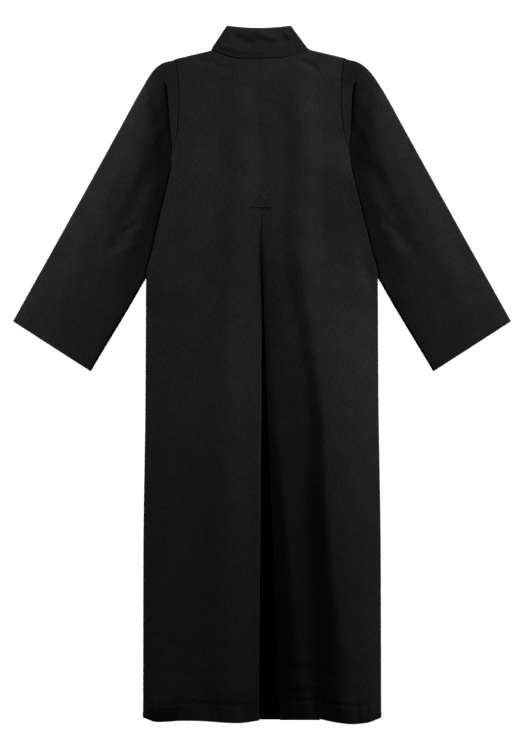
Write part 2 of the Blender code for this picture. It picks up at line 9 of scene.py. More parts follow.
import math
from collections import namedtuple

import bmesh
import bpy
from mathutils import Matrix, Vector


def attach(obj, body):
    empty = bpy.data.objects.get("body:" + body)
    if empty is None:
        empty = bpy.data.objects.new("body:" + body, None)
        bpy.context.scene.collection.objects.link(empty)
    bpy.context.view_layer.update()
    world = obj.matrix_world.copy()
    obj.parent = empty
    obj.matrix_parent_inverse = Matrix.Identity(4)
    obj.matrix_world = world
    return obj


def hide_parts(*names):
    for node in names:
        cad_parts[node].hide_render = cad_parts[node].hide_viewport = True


bl_info = {
    "name": "Cassock",
    "version": (1, 0, 0),
    "blender": (4, 5, 0),
    "location": "3D Viewport > Sidebar > Cassock",
    "description": "Dresses the cassock's frame in black suiting and lights it",
    "category": "Object",
}

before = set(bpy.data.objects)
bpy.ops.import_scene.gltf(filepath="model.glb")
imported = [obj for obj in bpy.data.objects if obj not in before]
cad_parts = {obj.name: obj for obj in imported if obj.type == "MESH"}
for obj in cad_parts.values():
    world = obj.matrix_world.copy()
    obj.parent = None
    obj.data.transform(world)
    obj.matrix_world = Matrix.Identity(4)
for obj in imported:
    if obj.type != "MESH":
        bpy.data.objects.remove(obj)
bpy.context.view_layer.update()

# --- The cut, as in the frame -------------------------------------------------------------------
NECK_HALF = 0.1065  # centre back to the point where collar, back and front meet
NECK_SIDE_Y = 0.6965
NECK_BACK_Y = 0.6773  # neck seam at the centre back
NECK_FRONT_Y = 0.6150  # neck seam at the centre front, underneath
NECK_FRONT_SCOOP = 2.6  # above 2, the front's neck seam is flatter at its centre than the back's
SHOULDER_HALF = 0.1845  # centre back to the armhole seam, at the shoulder
SHOULDER_Y = 0.6780
UNDERARM_Y = 0.4500
SIDE_SEAM_Y = UNDERARM_Y + 0.044  # from here down the body's edge lies over the sleeve
SIDE_SEAM_EASE = 0.020  # wholly so from this far below
HIP_Y = 0.2075  # the side seam runs out to here, then nearly straight down
FRONT_SHORTER = 0.003  # the front's hem stops this far above the back's
HEM_Y = -0.745
HEM_TURN = 0.038  # the hem's depth, from its edge up to the stitching

PLEAT_TOP_Y = 0.3590
PLEAT_TURN = 0.070  # how far each fold turns under, above the hem
PLEAT_TURN_HEM = 0.085  # and at the hem
SEAM_TURN = 0.010  # the pressed-open seam allowance above the pleat
PLEAT_OPENS_OVER = 0.045  # the turn widens from the allowance to the pleat over this length
SEAM_FOLD = 0.0015  # half the height of the fold along the centre-back seam
PLEAT_FOLD = 0.0020  # and of the fold along the pleat
SEWN_FROM = 0.3  # above the pleat the halves meet on the fold's lower part, from this sine down
SEWN_EASE = 0.6  # and part over this much more of it

GAP = 0.0003  # clear space between two pieces
SEAM_GAP = 0.0005  # and along a sewn edge
SEWN_GAP = 0.00035  # half the space left along the centre-back seam, where the halves meet
FRAME_CLOTH = 0.0012  # the solids' wall, which sets the heights of what lies on them
FRONT_TOP = FRAME_CLOTH  # height of the front's inner face, where it lies flat
LAP = 0.020  # the fronts overlap this far on each side of the centre front
LAP_STEP = 0.010  # the upper one steps down beside the lap over this width
LAP_LIFT = FRAME_CLOTH + GAP
SEAM_BASE = FRONT_TOP + LAP_LIFT + GAP  # the underlay and, above it, the seam's allowance lie here
TURN_BASE = SEAM_BASE + FRAME_CLOTH + GAP  # the pleat's turned folds lie on the underlay
TURN_DROPS_OVER = 0.030  # above the pleat, the allowance comes to that height over this length
TURN_SETTLES_OVER = 0.045  # and the turned cloth over this width, in from its fold
SLEEVE_LIFT = 0.0050  # how far the body's side is held up by the sleeve that passes beneath it
LIFT_TOP_Y = UNDERARM_Y + 0.073  # the lift begins here
LIFT_GROWS = 0.090  # and is whole this far below
LIFT_END_Y = HIP_Y - 0.090  # it ends here
LIFT_FADES = 0.080  # having died out over this length
LIFT_WIDTH = 0.030  # it is whole over this width beside the side seam
LIFT_EASE = 0.045  # the front comes down over this much more
LIFT_EASE_BACK = 0.100  # and the back over this much
LIFT_OF_BACK = 0.7  # the back's share of it
EDGE_ROLL = 0.0045  # width over which the back rolls down to its shoulder seam
CORNER_INSIDE = 0.003  # the roll begins this far inside the neck seam's end
CORNER_EASE = 0.008  # and is whole this far further out
SIDE_ROLL = 0.0004  # radius of the fold along its side seam
QUIET_WIDTH = 0.003  # the cloth has no creases this near its side
QUIET_EASE = 0.012  # and all of them this much further in

SLEEVE_EDGE = 0.0070  # height along the rolled fold at each edge
SLEEVE_LOFT = 0.0148  # height along the middle of the upper arm
CUFF_LOFT = 0.0105  # and at the cuff
LOFT_GROWS = 0.45  # it changes from one to the other over this much of the upper edge's height
DOME_POWER = 0.62  # below 1, the sleeve's top is flatter and its edges are steeper
CREST_PLACE = 0.86  # below 1, its crest is nearer the upper edge than the underarm
SLEEVE_INNER = 0.0046  # height where the sleeve passes beneath the body's side
SLEEVE_ROLL = 0.0022  # half width of the rolled fold along each edge
ARMHOLE_HEIGHT = 0.0066  # height along the armhole seam
ARMHOLE_RISES = 0.050  # it is reached this far above the underarm
DIVE_WIDTH = 0.075  # the sleeve dives to the armhole and the body's side over this width
DIVE_WIDTH_TOP = 0.110  # the same, near the shoulder, where it comes down more softly

COLLAR_TOP_HALF = 0.0688  # half the width of its top edge
COLLAR_TOP_Y = 0.7495  # that edge's ends
COLLAR_TOP_DIP = 0.0050  # and how far its middle dips
COLLAR_LEAN = 0.0065  # the top edge leans this far towards the left sleeve
COLLAR_HEIGHT_FRONT = 0.066  # its height at the front, underneath
COLLAR_LIFT = 0.0006  # its back lies this far above the cloth at the neck seam
COLLAR_OPENING = 0.0015  # half the gap at the centre front

TACK_HALF = 0.0210  # half the foot of the triangle over the pleat's top
TACK_HEIGHT = 0.0300
TACK_TIP = 0.0012  # half the width of its blunt tip

# Half the body's width at each height: the armhole seam down to the underarm, then the side seam.
SideRow = namedtuple("SideRow", "y half")
SIDE = (
    SideRow(-0.760, 0.2550),
    SideRow(-0.400, 0.2545),
    SideRow(-0.055, 0.2500),
    SideRow(HIP_Y, 0.2484),
    SideRow(0.267, 0.2346),
    SideRow(0.310, 0.2252),
    SideRow(0.417, 0.2002),
    SideRow(UNDERARM_Y, 0.1926),
    SideRow(0.470, 0.1900),
    SideRow(0.500, 0.1850),
    SideRow(0.540, 0.1790),
    SideRow(0.590, 0.1767),
    SideRow(0.640, 0.1785),
    SideRow(SHOULDER_Y, SHOULDER_HALF),
)

# The hem's edge, from the wearer's left side seam to the right.
HemRow = namedtuple("HemRow", "x y")
HEM = (
    HemRow(-0.2550, -0.7345),
    HemRow(-0.2250, -0.7445),
    HemRow(-0.1450, -0.7405),
    HemRow(-0.0450, -0.7455),
    HemRow(0.0000, -0.7405),
    HemRow(0.0350, -0.7360),
    HemRow(0.0900, -0.7355),
    HemRow(0.1400, -0.7415),
    HemRow(0.1850, -0.7455),
    HemRow(0.2200, -0.7430),
    HemRow(0.2550, -0.7330),
)

# Height of each half of the back along the centre, before the folds, and how much lower it lies at
# its side.
LevelRow = namedtuple("LevelRow", "y left right left_drop right_drop")
LEVEL = (
    LevelRow(-0.760, 0.0168, 0.0205, 0.0050, 0.0090),
    LevelRow(-0.600, 0.0162, 0.0190, 0.0050, 0.0085),
    LevelRow(-0.300, 0.0150, 0.0158, 0.0045, 0.0075),
    LevelRow(0.000, 0.0140, 0.0142, 0.0040, 0.0075),
    LevelRow(0.160, 0.0130, 0.0130, 0.0035, 0.0070),
    LevelRow(0.300, 0.0113, 0.0113, 0.0020, 0.0035),
    LevelRow(PLEAT_TOP_Y, 0.0102, 0.0102, 0.0010, 0.0015),
    LevelRow(0.460, 0.0070, 0.0070, 0.0, 0.0),
    LevelRow(0.540, 0.0061, 0.0061, 0.0, 0.0),
    LevelRow(0.700, 0.0061, 0.0061, 0.0, 0.0),
)

# The pleat's two fold edges: where each half of the back turns under.
EdgeRow = namedtuple("EdgeRow", "y left right")
PLEAT_EDGE = (
    EdgeRow(-0.760, -0.0070, 0.0400),
    EdgeRow(-0.350, -0.0040, 0.0240),
    EdgeRow(-0.050, -0.0014, 0.0116),
    EdgeRow(0.150, -0.0008, 0.0044),
    EdgeRow(PLEAT_TOP_Y - PLEAT_OPENS_OVER, -SEWN_GAP, SEWN_GAP),
    EdgeRow(0.700, -SEWN_GAP, SEWN_GAP),
)

# The main fold, a broad ridge down the wearer's right: its crest, its rise, and the step down its
# left side, which is the steep part of that rise. Its right flank runs on past the side seam.
RidgeRow = namedtuple("RidgeRow", "y x rise step width tail")
RIDGE = (
    RidgeRow(-0.760, 0.1840, 0.0160, 0.0128, 0.082, 0.045),
    RidgeRow(-0.615, 0.1760, 0.0160, 0.0128, 0.078, 0.045),
    RidgeRow(-0.530, 0.1670, 0.0157, 0.0128, 0.070, 0.045),
    RidgeRow(-0.440, 0.1580, 0.0152, 0.0124, 0.062, 0.045),
    RidgeRow(-0.355, 0.1500, 0.0145, 0.0114, 0.055, 0.045),
    RidgeRow(-0.270, 0.1420, 0.0138, 0.0102, 0.050, 0.040),
    RidgeRow(-0.185, 0.1380, 0.0125, 0.0080, 0.042, 0.032),
    RidgeRow(-0.098, 0.1330, 0.0110, 0.0060, 0.034, 0.022),
    RidgeRow(-0.012, 0.1230, 0.0100, 0.0048, 0.034, 0.012),
    RidgeRow(0.074, 0.1110, 0.0092, 0.0040, 0.036, 0.004),
    RidgeRow(0.160, 0.0980, 0.0080, 0.0030, 0.040, 0.004),
    RidgeRow(0.230, 0.0850, 0.0066, 0.0020, 0.042, 0.006),
    RidgeRow(0.300, 0.0720, 0.0035, 0.0010, 0.042, 0.010),
    RidgeRow(0.460, 0.0600, 0.0, 0.0, 0.042, 0.030),
)
RIDGE_FOOT = 0.125  # width of the rest of the rise on its left

# Lesser folds in the back, each growing from its top to the hem: x is its crest, left and right its
# half widths at the hem, and rise its height (a trough's is negative).
Fold = namedtuple("Fold", "x_top y_top x_hem left right rise")
FOLDS = (
    Fold(0.000, 0.060, 0.0350, 0.040, 0.062, -0.0091),
    Fold(-0.070, 0.480, -0.0800, 0.110, 0.078, 0.0058),
    Fold(-0.110, 0.300, -0.1250, 0.030, 0.034, -0.0007),
    Fold(-0.200, 0.260, -0.2120, 0.060, 0.045, 0.0010),
)
FOLD_GROWTH = 0.8  # below 1, the folds stand up sooner on their way down
FOLD_NARROW = 0.3  # a fold's width at its top, as a share of that at the hem

# The sleeve from the armhole to the cuff: each row runs straight from its point on the upper edge
# to its point on the underarm edge. crease says how deep the hollow beside the cap's fold is there.
RingRow = namedtuple("RingRow", "upper_x upper_y under_x under_y crease")
RINGS = (
    RingRow(SHOULDER_HALF, SHOULDER_Y, 0.1926, UNDERARM_Y, 0.0),
    RingRow(0.2060, 0.6712, 0.1890, UNDERARM_Y - 0.0030, 0.0),
    RingRow(0.2085, 0.6703, 0.1880, UNDERARM_Y - 0.0060, 0.55),
    RingRow(0.2120, 0.6688, 0.1880, UNDERARM_Y - 0.0100, 1.0),
    RingRow(0.2225, 0.6625, 0.1880, 0.4320, 0.9),
    RingRow(0.2345, 0.6505, 0.1890, 0.4150, 0.8),
    RingRow(0.2590, 0.6120, 0.1900, 0.3850, 0.6),
    RingRow(0.3055, 0.5280, 0.2000, 0.3100, 0.3),
    RingRow(0.3655, 0.4190, 0.2390, 0.2265, 0.0),
    RingRow(0.5350, 0.1145, 0.3675, 0.0065, 0.0),
)
FOLD_RING = 1  # the cap's fold beside the armhole runs along this row
CREASE_TOP_Y = 0.6380  # where that fold dies out
CREASE_EASE = 0.045  # it is whole this far below
CREASE_DEPTH = 0.0045  # depth of the hollow beside it
CREASE_OUT = 0.020  # how far out from the body's edge the hollow is deepest
CREASE_WIDTH = 0.055  # half its width
CREASE_FADES = 0.060  # it dies out over this length below the underarm

# --- What the solids leave out ------------------------------------------------------------------
NECK_DIP = 0.0004  # how far the back rolls down under the collar's edge
NECK_DIP_WIDTH = 0.0030  # over this width
NECK_LAP = 0.0008  # how far the collar's foot lies over that
ARMHOLE_DIP = 0.0015  # how far back and sleeve dip at the seam between them
ARMHOLE_DIP_WIDTH = 0.0007
GUTTER = 0.0030  # how far the sleeve dips where it goes beneath the body's side
GUTTER_WIDTH = 0.0045
GUTTER_FLOOR = 0.0016  # the sleeve's upper face stays above this
SEAM_FOLD_WIDTH = 0.0003  # how far across the centre-back seam's fold rounds over
PLEAT_FOLD_WIDTH = 0.0004  # and the pressed fold along the pleat
PLEAT_ROLL = 0.0030  # how far the back rolls down beside the pleat's right fold
PLEAT_ROLL_WIDTH = 0.038
PLEAT_ROLL_GROWS = 0.340  # it reaches that over this length below the pleat's top
LEFT_ROLL = 0.0030  # how far it rolls down, more broadly, beside the left fold
LEFT_ROLL_WIDTH = 0.050
LEFT_ROLL_GROWS = 0.130  # it reaches that over this length below the top
LEFT_ROLL_FADES = 0.450  # it dies out over this length above the hem
HELD = 0.0042  # how far the wearer's right side is held up, by more than the sleeve's own lift
HELD_WIDTH = 0.090
HELD_ABOVE = 0.016  # from this far above the underarm
HELD_EASE = 0.060  # where it grows over this length
HELD_END_Y = 0.165  # down to here
HELD_FADE = 0.100  # where it dies out over this length
HEM_GROOVE = 0.0004  # how far the hem's stitching draws the cloth in
HEM_GROOVE_WIDTH = 0.0055
EDGE_TURN = 0.0012  # radius of the turned edge at the hem and cuffs
EDGE_RETURN = 0.010  # how far the turned edge goes back inside
TUCK_TOP_Y = 0.6290  # where the cap's fold begins to overlap the sleeve
TUCK_EASE = 0.014  # it overlaps wholly from this far below
TUCK_DEPTH = 0.0060  # how far the cap's fold overlaps the sleeve
TUCK_CREST = 0.0062  # height of the fold's lip
TUCK_UNDER = 0.0036  # height of the layer between
TUCK_FLOOR = 0.0030  # height of the sleeve just beyond it
TUCK_RISES = 0.25  # the sleeve comes up to the lip within this share of the way from the armhole
TUCK_END = 0.95  # where the overlap begins to end, as a share of the way to the underarm
TUCK_END_EASE = 0.04  # and the further share of it in which it ends

# Small creases in the back: each is a soft trough, or with a positive rise a ridge, along a line
# from its start to its end, which it reaches with no depth.
Crease = namedtuple("Crease", "x y x_end y_end width rise")
CREASE_END = 0.25  # each end takes up this share of its length
BACK_CREASES = (
    Crease(0.087, 0.680, 0.094, 0.150, 0.050, 0.0021),
    Crease(-0.046, 0.680, -0.050, 0.160, 0.052, 0.0022),
    Crease(-0.150, 0.600, -0.170, 0.240, 0.040, 0.0008),
    Crease(0.030, -0.626, 0.172, -0.640, 0.018, -0.0005),
    Crease(0.048, -0.664, 0.140, -0.670, 0.018, 0.0006),
    Crease(0.206, 0.262, 0.246, 0.166, 0.024, -0.0006),
    Crease(-0.246, 0.110, -0.205, 0.020, 0.022, -0.0004),
    Crease(-0.146, 0.676, -0.078, 0.664, 0.010, -0.0010),
    Crease(0.082, 0.672, 0.132, 0.652, 0.010, -0.0009),
    Crease(-0.120, 0.655, -0.060, 0.640, 0.011, 0.0006),
    Crease(-0.235, -0.560, -0.150, -0.600, 0.020, -0.0004),
    Crease(0.190, -0.300, 0.240, -0.345, 0.020, -0.0003),
    Crease(-0.020, 0.352, -0.085, 0.250, 0.016, 0.0007),
    Crease(-0.300, -0.768, -0.150, -0.768, 0.062, -0.0060),
    Crease(-0.130, -0.770, 0.020, -0.770, 0.120, -0.0040),
    Crease(0.140, -0.775, 0.300, -0.775, 0.070, -0.0030),
)

# Small creases in a sleeve, on the wearer's right; the left has them mirrored.
SLEEVE_CREASES = (
    Crease(0.224, 0.612, 0.236, 0.560, 0.020, -0.0010),
    Crease(0.216, 0.575, 0.228, 0.520, 0.018, -0.0009),
    Crease(0.208, 0.525, 0.222, 0.470, 0.018, -0.0010),
    Crease(0.225, 0.470, 0.330, 0.235, 0.030, -0.0020),
    Crease(0.275, 0.560, 0.470, 0.180, 0.026, -0.0005),
    Crease(0.300, 0.430, 0.440, 0.130, 0.034, 0.0006),
    Crease(0.255, 0.330, 0.300, 0.300, 0.014, -0.0012),
    Crease(0.260, 0.280, 0.330, 0.255, 0.015, 0.0008),
)

# Puckers along the hem: each is a low ridge that runs up from the edge.
Pucker = namedtuple("Pucker", "x width rise")
PUCKERS = (
    Pucker(-0.232, 0.012, 0.0007),
    Pucker(-0.188, 0.018, -0.0008),
    Pucker(-0.150, 0.013, 0.0009),
    Pucker(-0.118, 0.016, -0.0006),
    Pucker(-0.086, 0.012, 0.0007),
    Pucker(-0.040, 0.015, -0.0007),
    Pucker(0.064, 0.013, 0.0008),
    Pucker(0.098, 0.017, 0.0011),
    Pucker(0.131, 0.012, -0.0009),
    Pucker(0.166, 0.015, 0.0006),
    Pucker(0.204, 0.013, -0.0008),
    Pucker(0.233, 0.011, 0.0007),
)
PUCKER_LENGTH = 0.060  # half the length of a pucker, if the edge didn't cut it short
PUCKER_MIDDLE = 0.6 * HEM_TURN  # it is highest this far above the edge


# --- Colour -------------------------------------------------------------------------------------
def linear(hex_colour):
    """An sRGB hex colour as Blender's linear red, green and blue."""
    channels = [int(hex_colour[i : i + 2], 16) / 255 for i in (0, 2, 4)]
    return tuple(c / 12.92 if c <= 0.04045 else ((c + 0.055) / 1.055) ** 2.4 for c in channels)


# --- What a user would change -------------------------------------------------------------------
class CassockCloth(bpy.types.PropertyGroup):
    """The suiting and its sewing."""

    thickness: bpy.props.FloatProperty(
        name="Cloth thickness",
        description="Thickness of one layer of the suiting",
        default=0.0008,
        min=0.0004,
        max=0.0009,
        unit="LENGTH",
    )
    collar_thickness: bpy.props.FloatProperty(
        name="Collar thickness",
        description="The collar's two layers and their interlining",
        default=0.0024,
        min=0.0010,
        max=0.0026,
        unit="LENGTH",
    )
    colour: bpy.props.FloatVectorProperty(
        name="Cloth colour",
        description="The suiting's dyed black",
        default=linear("191818"),
        size=3,
        min=0.0,
        max=1.0,
        subtype="COLOR",
    )
    worn_colour: bpy.props.FloatVectorProperty(
        name="Raised thread colour",
        description="The black where a thread stands up and catches the light",
        default=linear("272626"),
        size=3,
        min=0.0,
        max=1.0,
        subtype="COLOR",
    )
    thread_colour: bpy.props.FloatVectorProperty(
        name="Sewing thread colour",
        description="The polyester sewing thread",
        default=linear("161616"),
        size=3,
        min=0.0,
        max=1.0,
        subtype="COLOR",
    )
    thread_width: bpy.props.FloatProperty(
        name="Drawn thread width",
        description="Width at which the weave's threads are drawn",
        default=0.0036,
        min=0.0002,
        max=0.0100,
        unit="LENGTH",
    )
    stitch: bpy.props.FloatProperty(
        name="Stitch length",
        description="Length of one stitch and the space after it",
        default=0.0034,
        min=0.0015,
        max=0.0100,
        unit="LENGTH",
    )


class CassockStage(bpy.types.PropertyGroup):
    """The floor, the lights and the camera."""

    floor_colour: bpy.props.FloatVectorProperty(
        name="Floor colour",
        description="The pale floor",
        default=linear("F6F6F6"),
        size=3,
        min=0.0,
        max=1.0,
        subtype="COLOR",
    )
    floor_size: bpy.props.FloatProperty(
        name="Floor size",
        description="Side of the square floor",
        default=16.0,
        min=3.0,
        unit="LENGTH",
    )
    camera_height: bpy.props.FloatProperty(
        name="Camera height",
        description="The camera's height above the floor",
        default=3.807,
        min=1.0,
        unit="LENGTH",
    )
    focal_length: bpy.props.FloatProperty(
        name="Focal length",
        description="The camera's lens, in millimetres",
        default=85.0,
        min=20.0,
        subtype="DISTANCE_CAMERA",
    )
    key: bpy.props.FloatProperty(
        name="Light level",
        description="Scales every light on the garment",
        default=1.0,
        min=0.0,
        subtype="FACTOR",
    )


# --- Curves -------------------------------------------------------------------------------------
def smooth(t):
    """Eases from 0 to 1 as t does."""
    t = min(max(t, 0.0), 1.0)
    return t * t * (3 - 2 * t)


def mix(a, b, t):
    return a + (b - a) * t


def round_over(t):
    """A quarter circle's height, from 0 at t = 0 to 1 from t = 1 on."""
    t = min(max(t, 0.0), 1.0)
    return math.sqrt(1 - (1 - t) ** 2)


def hump(t):
    """A soft ridge's height: 1 at t = 0, and 0 from t = 1 on."""
    return math.cos(min(abs(t), 1.0) * math.pi / 2) ** 2


def read(table, at, column):
    """The column's value where a table's first column is at, on a curve through its rows."""
    last = len(table) - 1
    at = min(max(at, table[0][0]), table[last][0])
    i = 0
    while i < last - 1 and table[i + 1][0] <= at:
        i += 1

    def slope(k):
        rise = getattr(table[k + 1], column) - getattr(table[k], column)
        return rise / (table[k + 1][0] - table[k][0])

    def tangent(k):
        if k in (0, last):
            return slope(min(k, last - 1))
        before, after = slope(k - 1), slope(k)
        if before * after <= 0:
            return 0.0
        return 2 * before * after / (before + after)

    span = table[i + 1][0] - table[i][0]
    t = (at - table[i][0]) / span
    start, end = getattr(table[i], column), getattr(table[i + 1], column)
    value = start * (1 + 2 * t) * (1 - t) ** 2 + end * t * t * (3 - 2 * t)
    return value + span * t * (1 - t) * (tangent(i) * (1 - t) - tangent(i + 1) * t)


def creased(x, y, creases):
    """What a table of small creases adds to the height at this point."""
    total = 0.0
    for crease in creases:
        run_x, run_y = crease.x_end - crease.x, crease.y_end - crease.y
        squared = run_x * run_x + run_y * run_y
        t = ((x - crease.x) * run_x + (y - crease.y) * run_y) / squared
        if not 0.0 < t < 1.0:
            continue
        off = abs((x - crease.x) * run_y - (y - crease.y) * run_x) / math.sqrt(squared)
        if off < crease.width:
            total += crease.rise * hump(off / crease.width) * smooth(min(t, 1 - t) / CREASE_END)
    return total


# --- The cut of the body ------------------------------------------------------------------------
def side_half(y):
    return read(SIDE, y, "half")


def neck_back_y(x):
    """The back's neck seam, a shallow scoop."""
    return mix(NECK_BACK_Y, NECK_SIDE_Y, min(abs(x) / NECK_HALF, 1.0) ** 2)


def neck_front_y(x):
    """The front's neck seam, a deeper scoop."""
    return mix(NECK_FRONT_Y, NECK_SIDE_Y, min(abs(x) / NECK_HALF, 1.0) ** NECK_FRONT_SCOOP)


def top_y(x, neck_y):
    """The top edge of a body panel: its neck seam, then the sloping shoulder."""
    x = abs(x)
    if x <= NECK_HALF:
        return neck_y(x)
    return mix(NECK_SIDE_Y, SHOULDER_Y, (x - NECK_HALF) / (SHOULDER_HALF - NECK_HALF))


def hem_below(side, start):
    """Where the hem crosses the column that starts this far from the centre at the top edge."""
    return read(HEM, side * start / SHOULDER_HALF * side_half(HEM_Y), "y")


def pleat_turn(y):
    """How far the back turns under at its centre."""
    opened = smooth((PLEAT_TOP_Y - y) / PLEAT_OPENS_OVER)
    turn = mix(PLEAT_TURN, PLEAT_TURN_HEM, smooth((PLEAT_TOP_Y - y) / (PLEAT_TOP_Y - HEM_Y)))
    return mix(SEAM_TURN, turn, opened)


# --- Heights of the body ------------------------------------------------------------------------
def side_lift(y):
    """How far the sleeve underneath lifts the body's side seam."""
    above = smooth((LIFT_TOP_Y - y) / LIFT_GROWS)
    below = smooth((y - LIFT_END_Y) / LIFT_FADES)
    return SLEEVE_LIFT * above * below


def front_height(x, y):
    """The front's outer face, which is its underside: flat but for the side over the sleeve."""
    inset = side_half(y) - abs(x)
    return side_lift(y) * (1 - smooth((inset - LIFT_WIDTH) / LIFT_EASE))


def fold_height(x, y):
    """What the folds add to the back at this point."""
    total = 0.0
    for fold in FOLDS:
        down = max(fold.y_top - y, 0.0) / (fold.y_top - HEM_Y)
        off = x - mix(fold.x_top, fold.x_hem, down)
        width = (fold.left if off < 0 else fold.right) * mix(FOLD_NARROW, 1.0, down)
        total += fold.rise * smooth(down**FOLD_GROWTH) * hump(off / width)
    crest, rise = read(RIDGE, y, "x"), read(RIDGE, y, "rise")
    if x < crest:
        step = read(RIDGE, y, "step")
        total += step * hump((x - crest) / read(RIDGE, y, "width"))
        return total + (rise - step) * hump((x - crest) / RIDGE_FOOT)
    flank = (x - crest) / (side_half(y) + read(RIDGE, y, "tail") - crest)
    return total + rise * math.cos(flank * math.pi / 2)


def hem_detail(x, y, hem_y):
    """The groove along the hem's stitching, and the puckers that it leaves."""
    above = y - hem_y
    if above > HEM_TURN + PUCKER_LENGTH:
        return 0.0
    groove = HEM_GROOVE * hump((above - HEM_TURN) / HEM_GROOVE_WIDTH)
    puckered = sum(pucker.rise * hump((x - pucker.x) / pucker.width) for pucker in PUCKERS)
    strength = hump((above - PUCKER_MIDDLE) / PUCKER_LENGTH)
    return puckered * strength - groove


def pleat_roll(x, y):
    """How far each half of the back rolls down beside the pleat's fold."""
    if y > PLEAT_TOP_Y:
        return 0.0
    if x > 0:
        beside = x - read(PLEAT_EDGE, y, "right")
        opened = smooth((PLEAT_TOP_Y - y) / PLEAT_ROLL_GROWS)
        return PLEAT_ROLL * opened * (1 - round_over(beside / PLEAT_ROLL_WIDTH))
    beside = read(PLEAT_EDGE, y, "left") - x
    opened = smooth((PLEAT_TOP_Y - y) / LEFT_ROLL_GROWS) * smooth((y - HEM_Y) / LEFT_ROLL_FADES)
    return LEFT_ROLL * opened * (1 - min(beside / LEFT_ROLL_WIDTH, 1.0)) ** 2


def below_underarm(y):
    """0 beside the armhole, and 1 beside the side seam."""
    return smooth((SIDE_SEAM_Y - y) / SIDE_SEAM_EASE)


def side_held(x, y):
    """How much higher the wearer's right side is held, where it lies over the sleeve."""
    if x < 0:
        return 0.0
    beside = min((side_half(y) - x) / HELD_WIDTH, 1.0)
    along = smooth((UNDERARM_Y + HELD_ABOVE - y) / HELD_EASE) * smooth((y - HELD_END_Y) / HELD_FADE)
    return HELD * along * (1 - beside) ** 2


def back_height(x, y, neck_inset, hem_y=HEM_Y):
    """The back's outer face at a point that lies neck_inset below the panel's top edge."""
    inset = side_half(y) - abs(x)
    lifted = LIFT_OF_BACK * side_lift(y) * (1 - smooth((inset - LIFT_WIDTH) / LIFT_EASE_BACK))
    half = "left" if x < 0 else "right"
    drop = read(LEVEL, y, half + "_drop") * (x / side_half(y)) ** 2
    full = read(LEVEL, y, half) - drop
    full += lifted + fold_height(x, y) - pleat_roll(x, y) + side_held(x, y)
    seam = FRONT_TOP + SEAM_GAP + side_lift(y)
    below_arm = below_underarm(y)
    on_shoulder = smooth((abs(x) - NECK_HALF + CORNER_INSIDE) / CORNER_EASE)
    rolled = mix(1.0, round_over(neck_inset / EDGE_ROLL), on_shoulder)
    settled = smooth((inset - QUIET_WIDTH) / QUIET_EASE)
    detail = (creased(x, y, BACK_CREASES) + hem_detail(x, y, hem_y)) * settled
    neck = NECK_DIP * (1 - round_over(neck_inset / NECK_DIP_WIDTH)) * (1 - on_shoulder)
    armhole = ARMHOLE_DIP * (1 - round_over(inset / ARMHOLE_DIP_WIDTH)) * (1 - below_arm)
    return mix(seam, full, rolled) + detail - neck - armhole


# --- How the garment lies -----------------------------------------------------------------------
LEAN = 0.0041  # the upper garment lies askew: its centre is this far towards the left sleeve
LEAN_SPREAD = 3.4  # and a point to the right more so, by this share for each metre
LEAN_REACH = 0.200  # as far out from the centre as this
LEAN_EASE = 0.070  # it has died out after this much more
LEAN_FROM_Y = 0.430  # it begins at this height
LEAN_GROWS = 0.160  # is whole this far above
LEAN_TO_Y = 0.725  # and ends here, in the collar
LEAN_ENDS = 0.040  # having died out over this length
LEAN_RISE = 0.0022  # how far the right shoulder rises with it
NECK_SAG = 0.0038  # how far the neck seam sags on each side of the centre
NECK_SAG_X = 0.060  # how far from the centre it sags most
NECK_SAG_WIDTH = 0.055  # half the width of that sag
NECK_SAG_HEIGHT = 0.030  # and half the height of the cloth that sags with it
SIDE_IN = 0.0031  # how far the right side seam lies in towards the centre
SIDE_IN_FROM_Y = 0.190  # it begins at this height
SIDE_IN_GROWS = 0.160  # is whole this far above
SIDE_IN_TO_Y = 0.545  # and ends here
SIDE_IN_ENDS = 0.060  # having died out over this length
SIDE_IN_X = 0.050  # from this far out from the centre
SIDE_IN_WIDTH = 0.120  # and whole from this much further out


def lean(bm):
    """Sets the upper part of a piece a little askew, draws in its right side and lowers its neck."""
    for vertex in bm.verts:
        x, y = vertex.co.x, vertex.co.y
        inner = smooth((LEAN_REACH + LEAN_EASE - abs(x)) / LEAN_EASE)
        share = smooth((y - LEAN_FROM_Y) / LEAN_GROWS) * smooth((LEAN_TO_Y - y) / LEAN_ENDS) * inner
        beside = smooth((y - SIDE_IN_FROM_Y) / SIDE_IN_GROWS)
        beside *= smooth((SIDE_IN_TO_Y - y) / SIDE_IN_ENDS)
        beside *= smooth((x - SIDE_IN_X) / SIDE_IN_WIDTH) * inner
        sag = hump((abs(x) - NECK_SAG_X) / NECK_SAG_WIDTH) * hump((y - NECK_BACK_Y) / NECK_SAG_HEIGHT)
        side = min(max(x, -LEAN_REACH), LEAN_REACH)
        vertex.co.x -= LEAN * (1 + LEAN_SPREAD * side) * share + SIDE_IN * beside
        vertex.co.y += LEAN_RISE * smooth(x / NECK_HALF) * share - NECK_SAG * sag


# --- Making cloth -------------------------------------------------------------------------------
GRAIN = "grain"  # the UV map that holds metres across and along the cloth's threads
CREASED_FROM = math.radians(40)  # a fold at least this sharp, or a raw edge, isn't shaded as round
JOINED = 1e-6  # points nearer than this become one
SIDES = ((-1, "left"), (1, "right"))  # the sign of X on each side, and the word for it


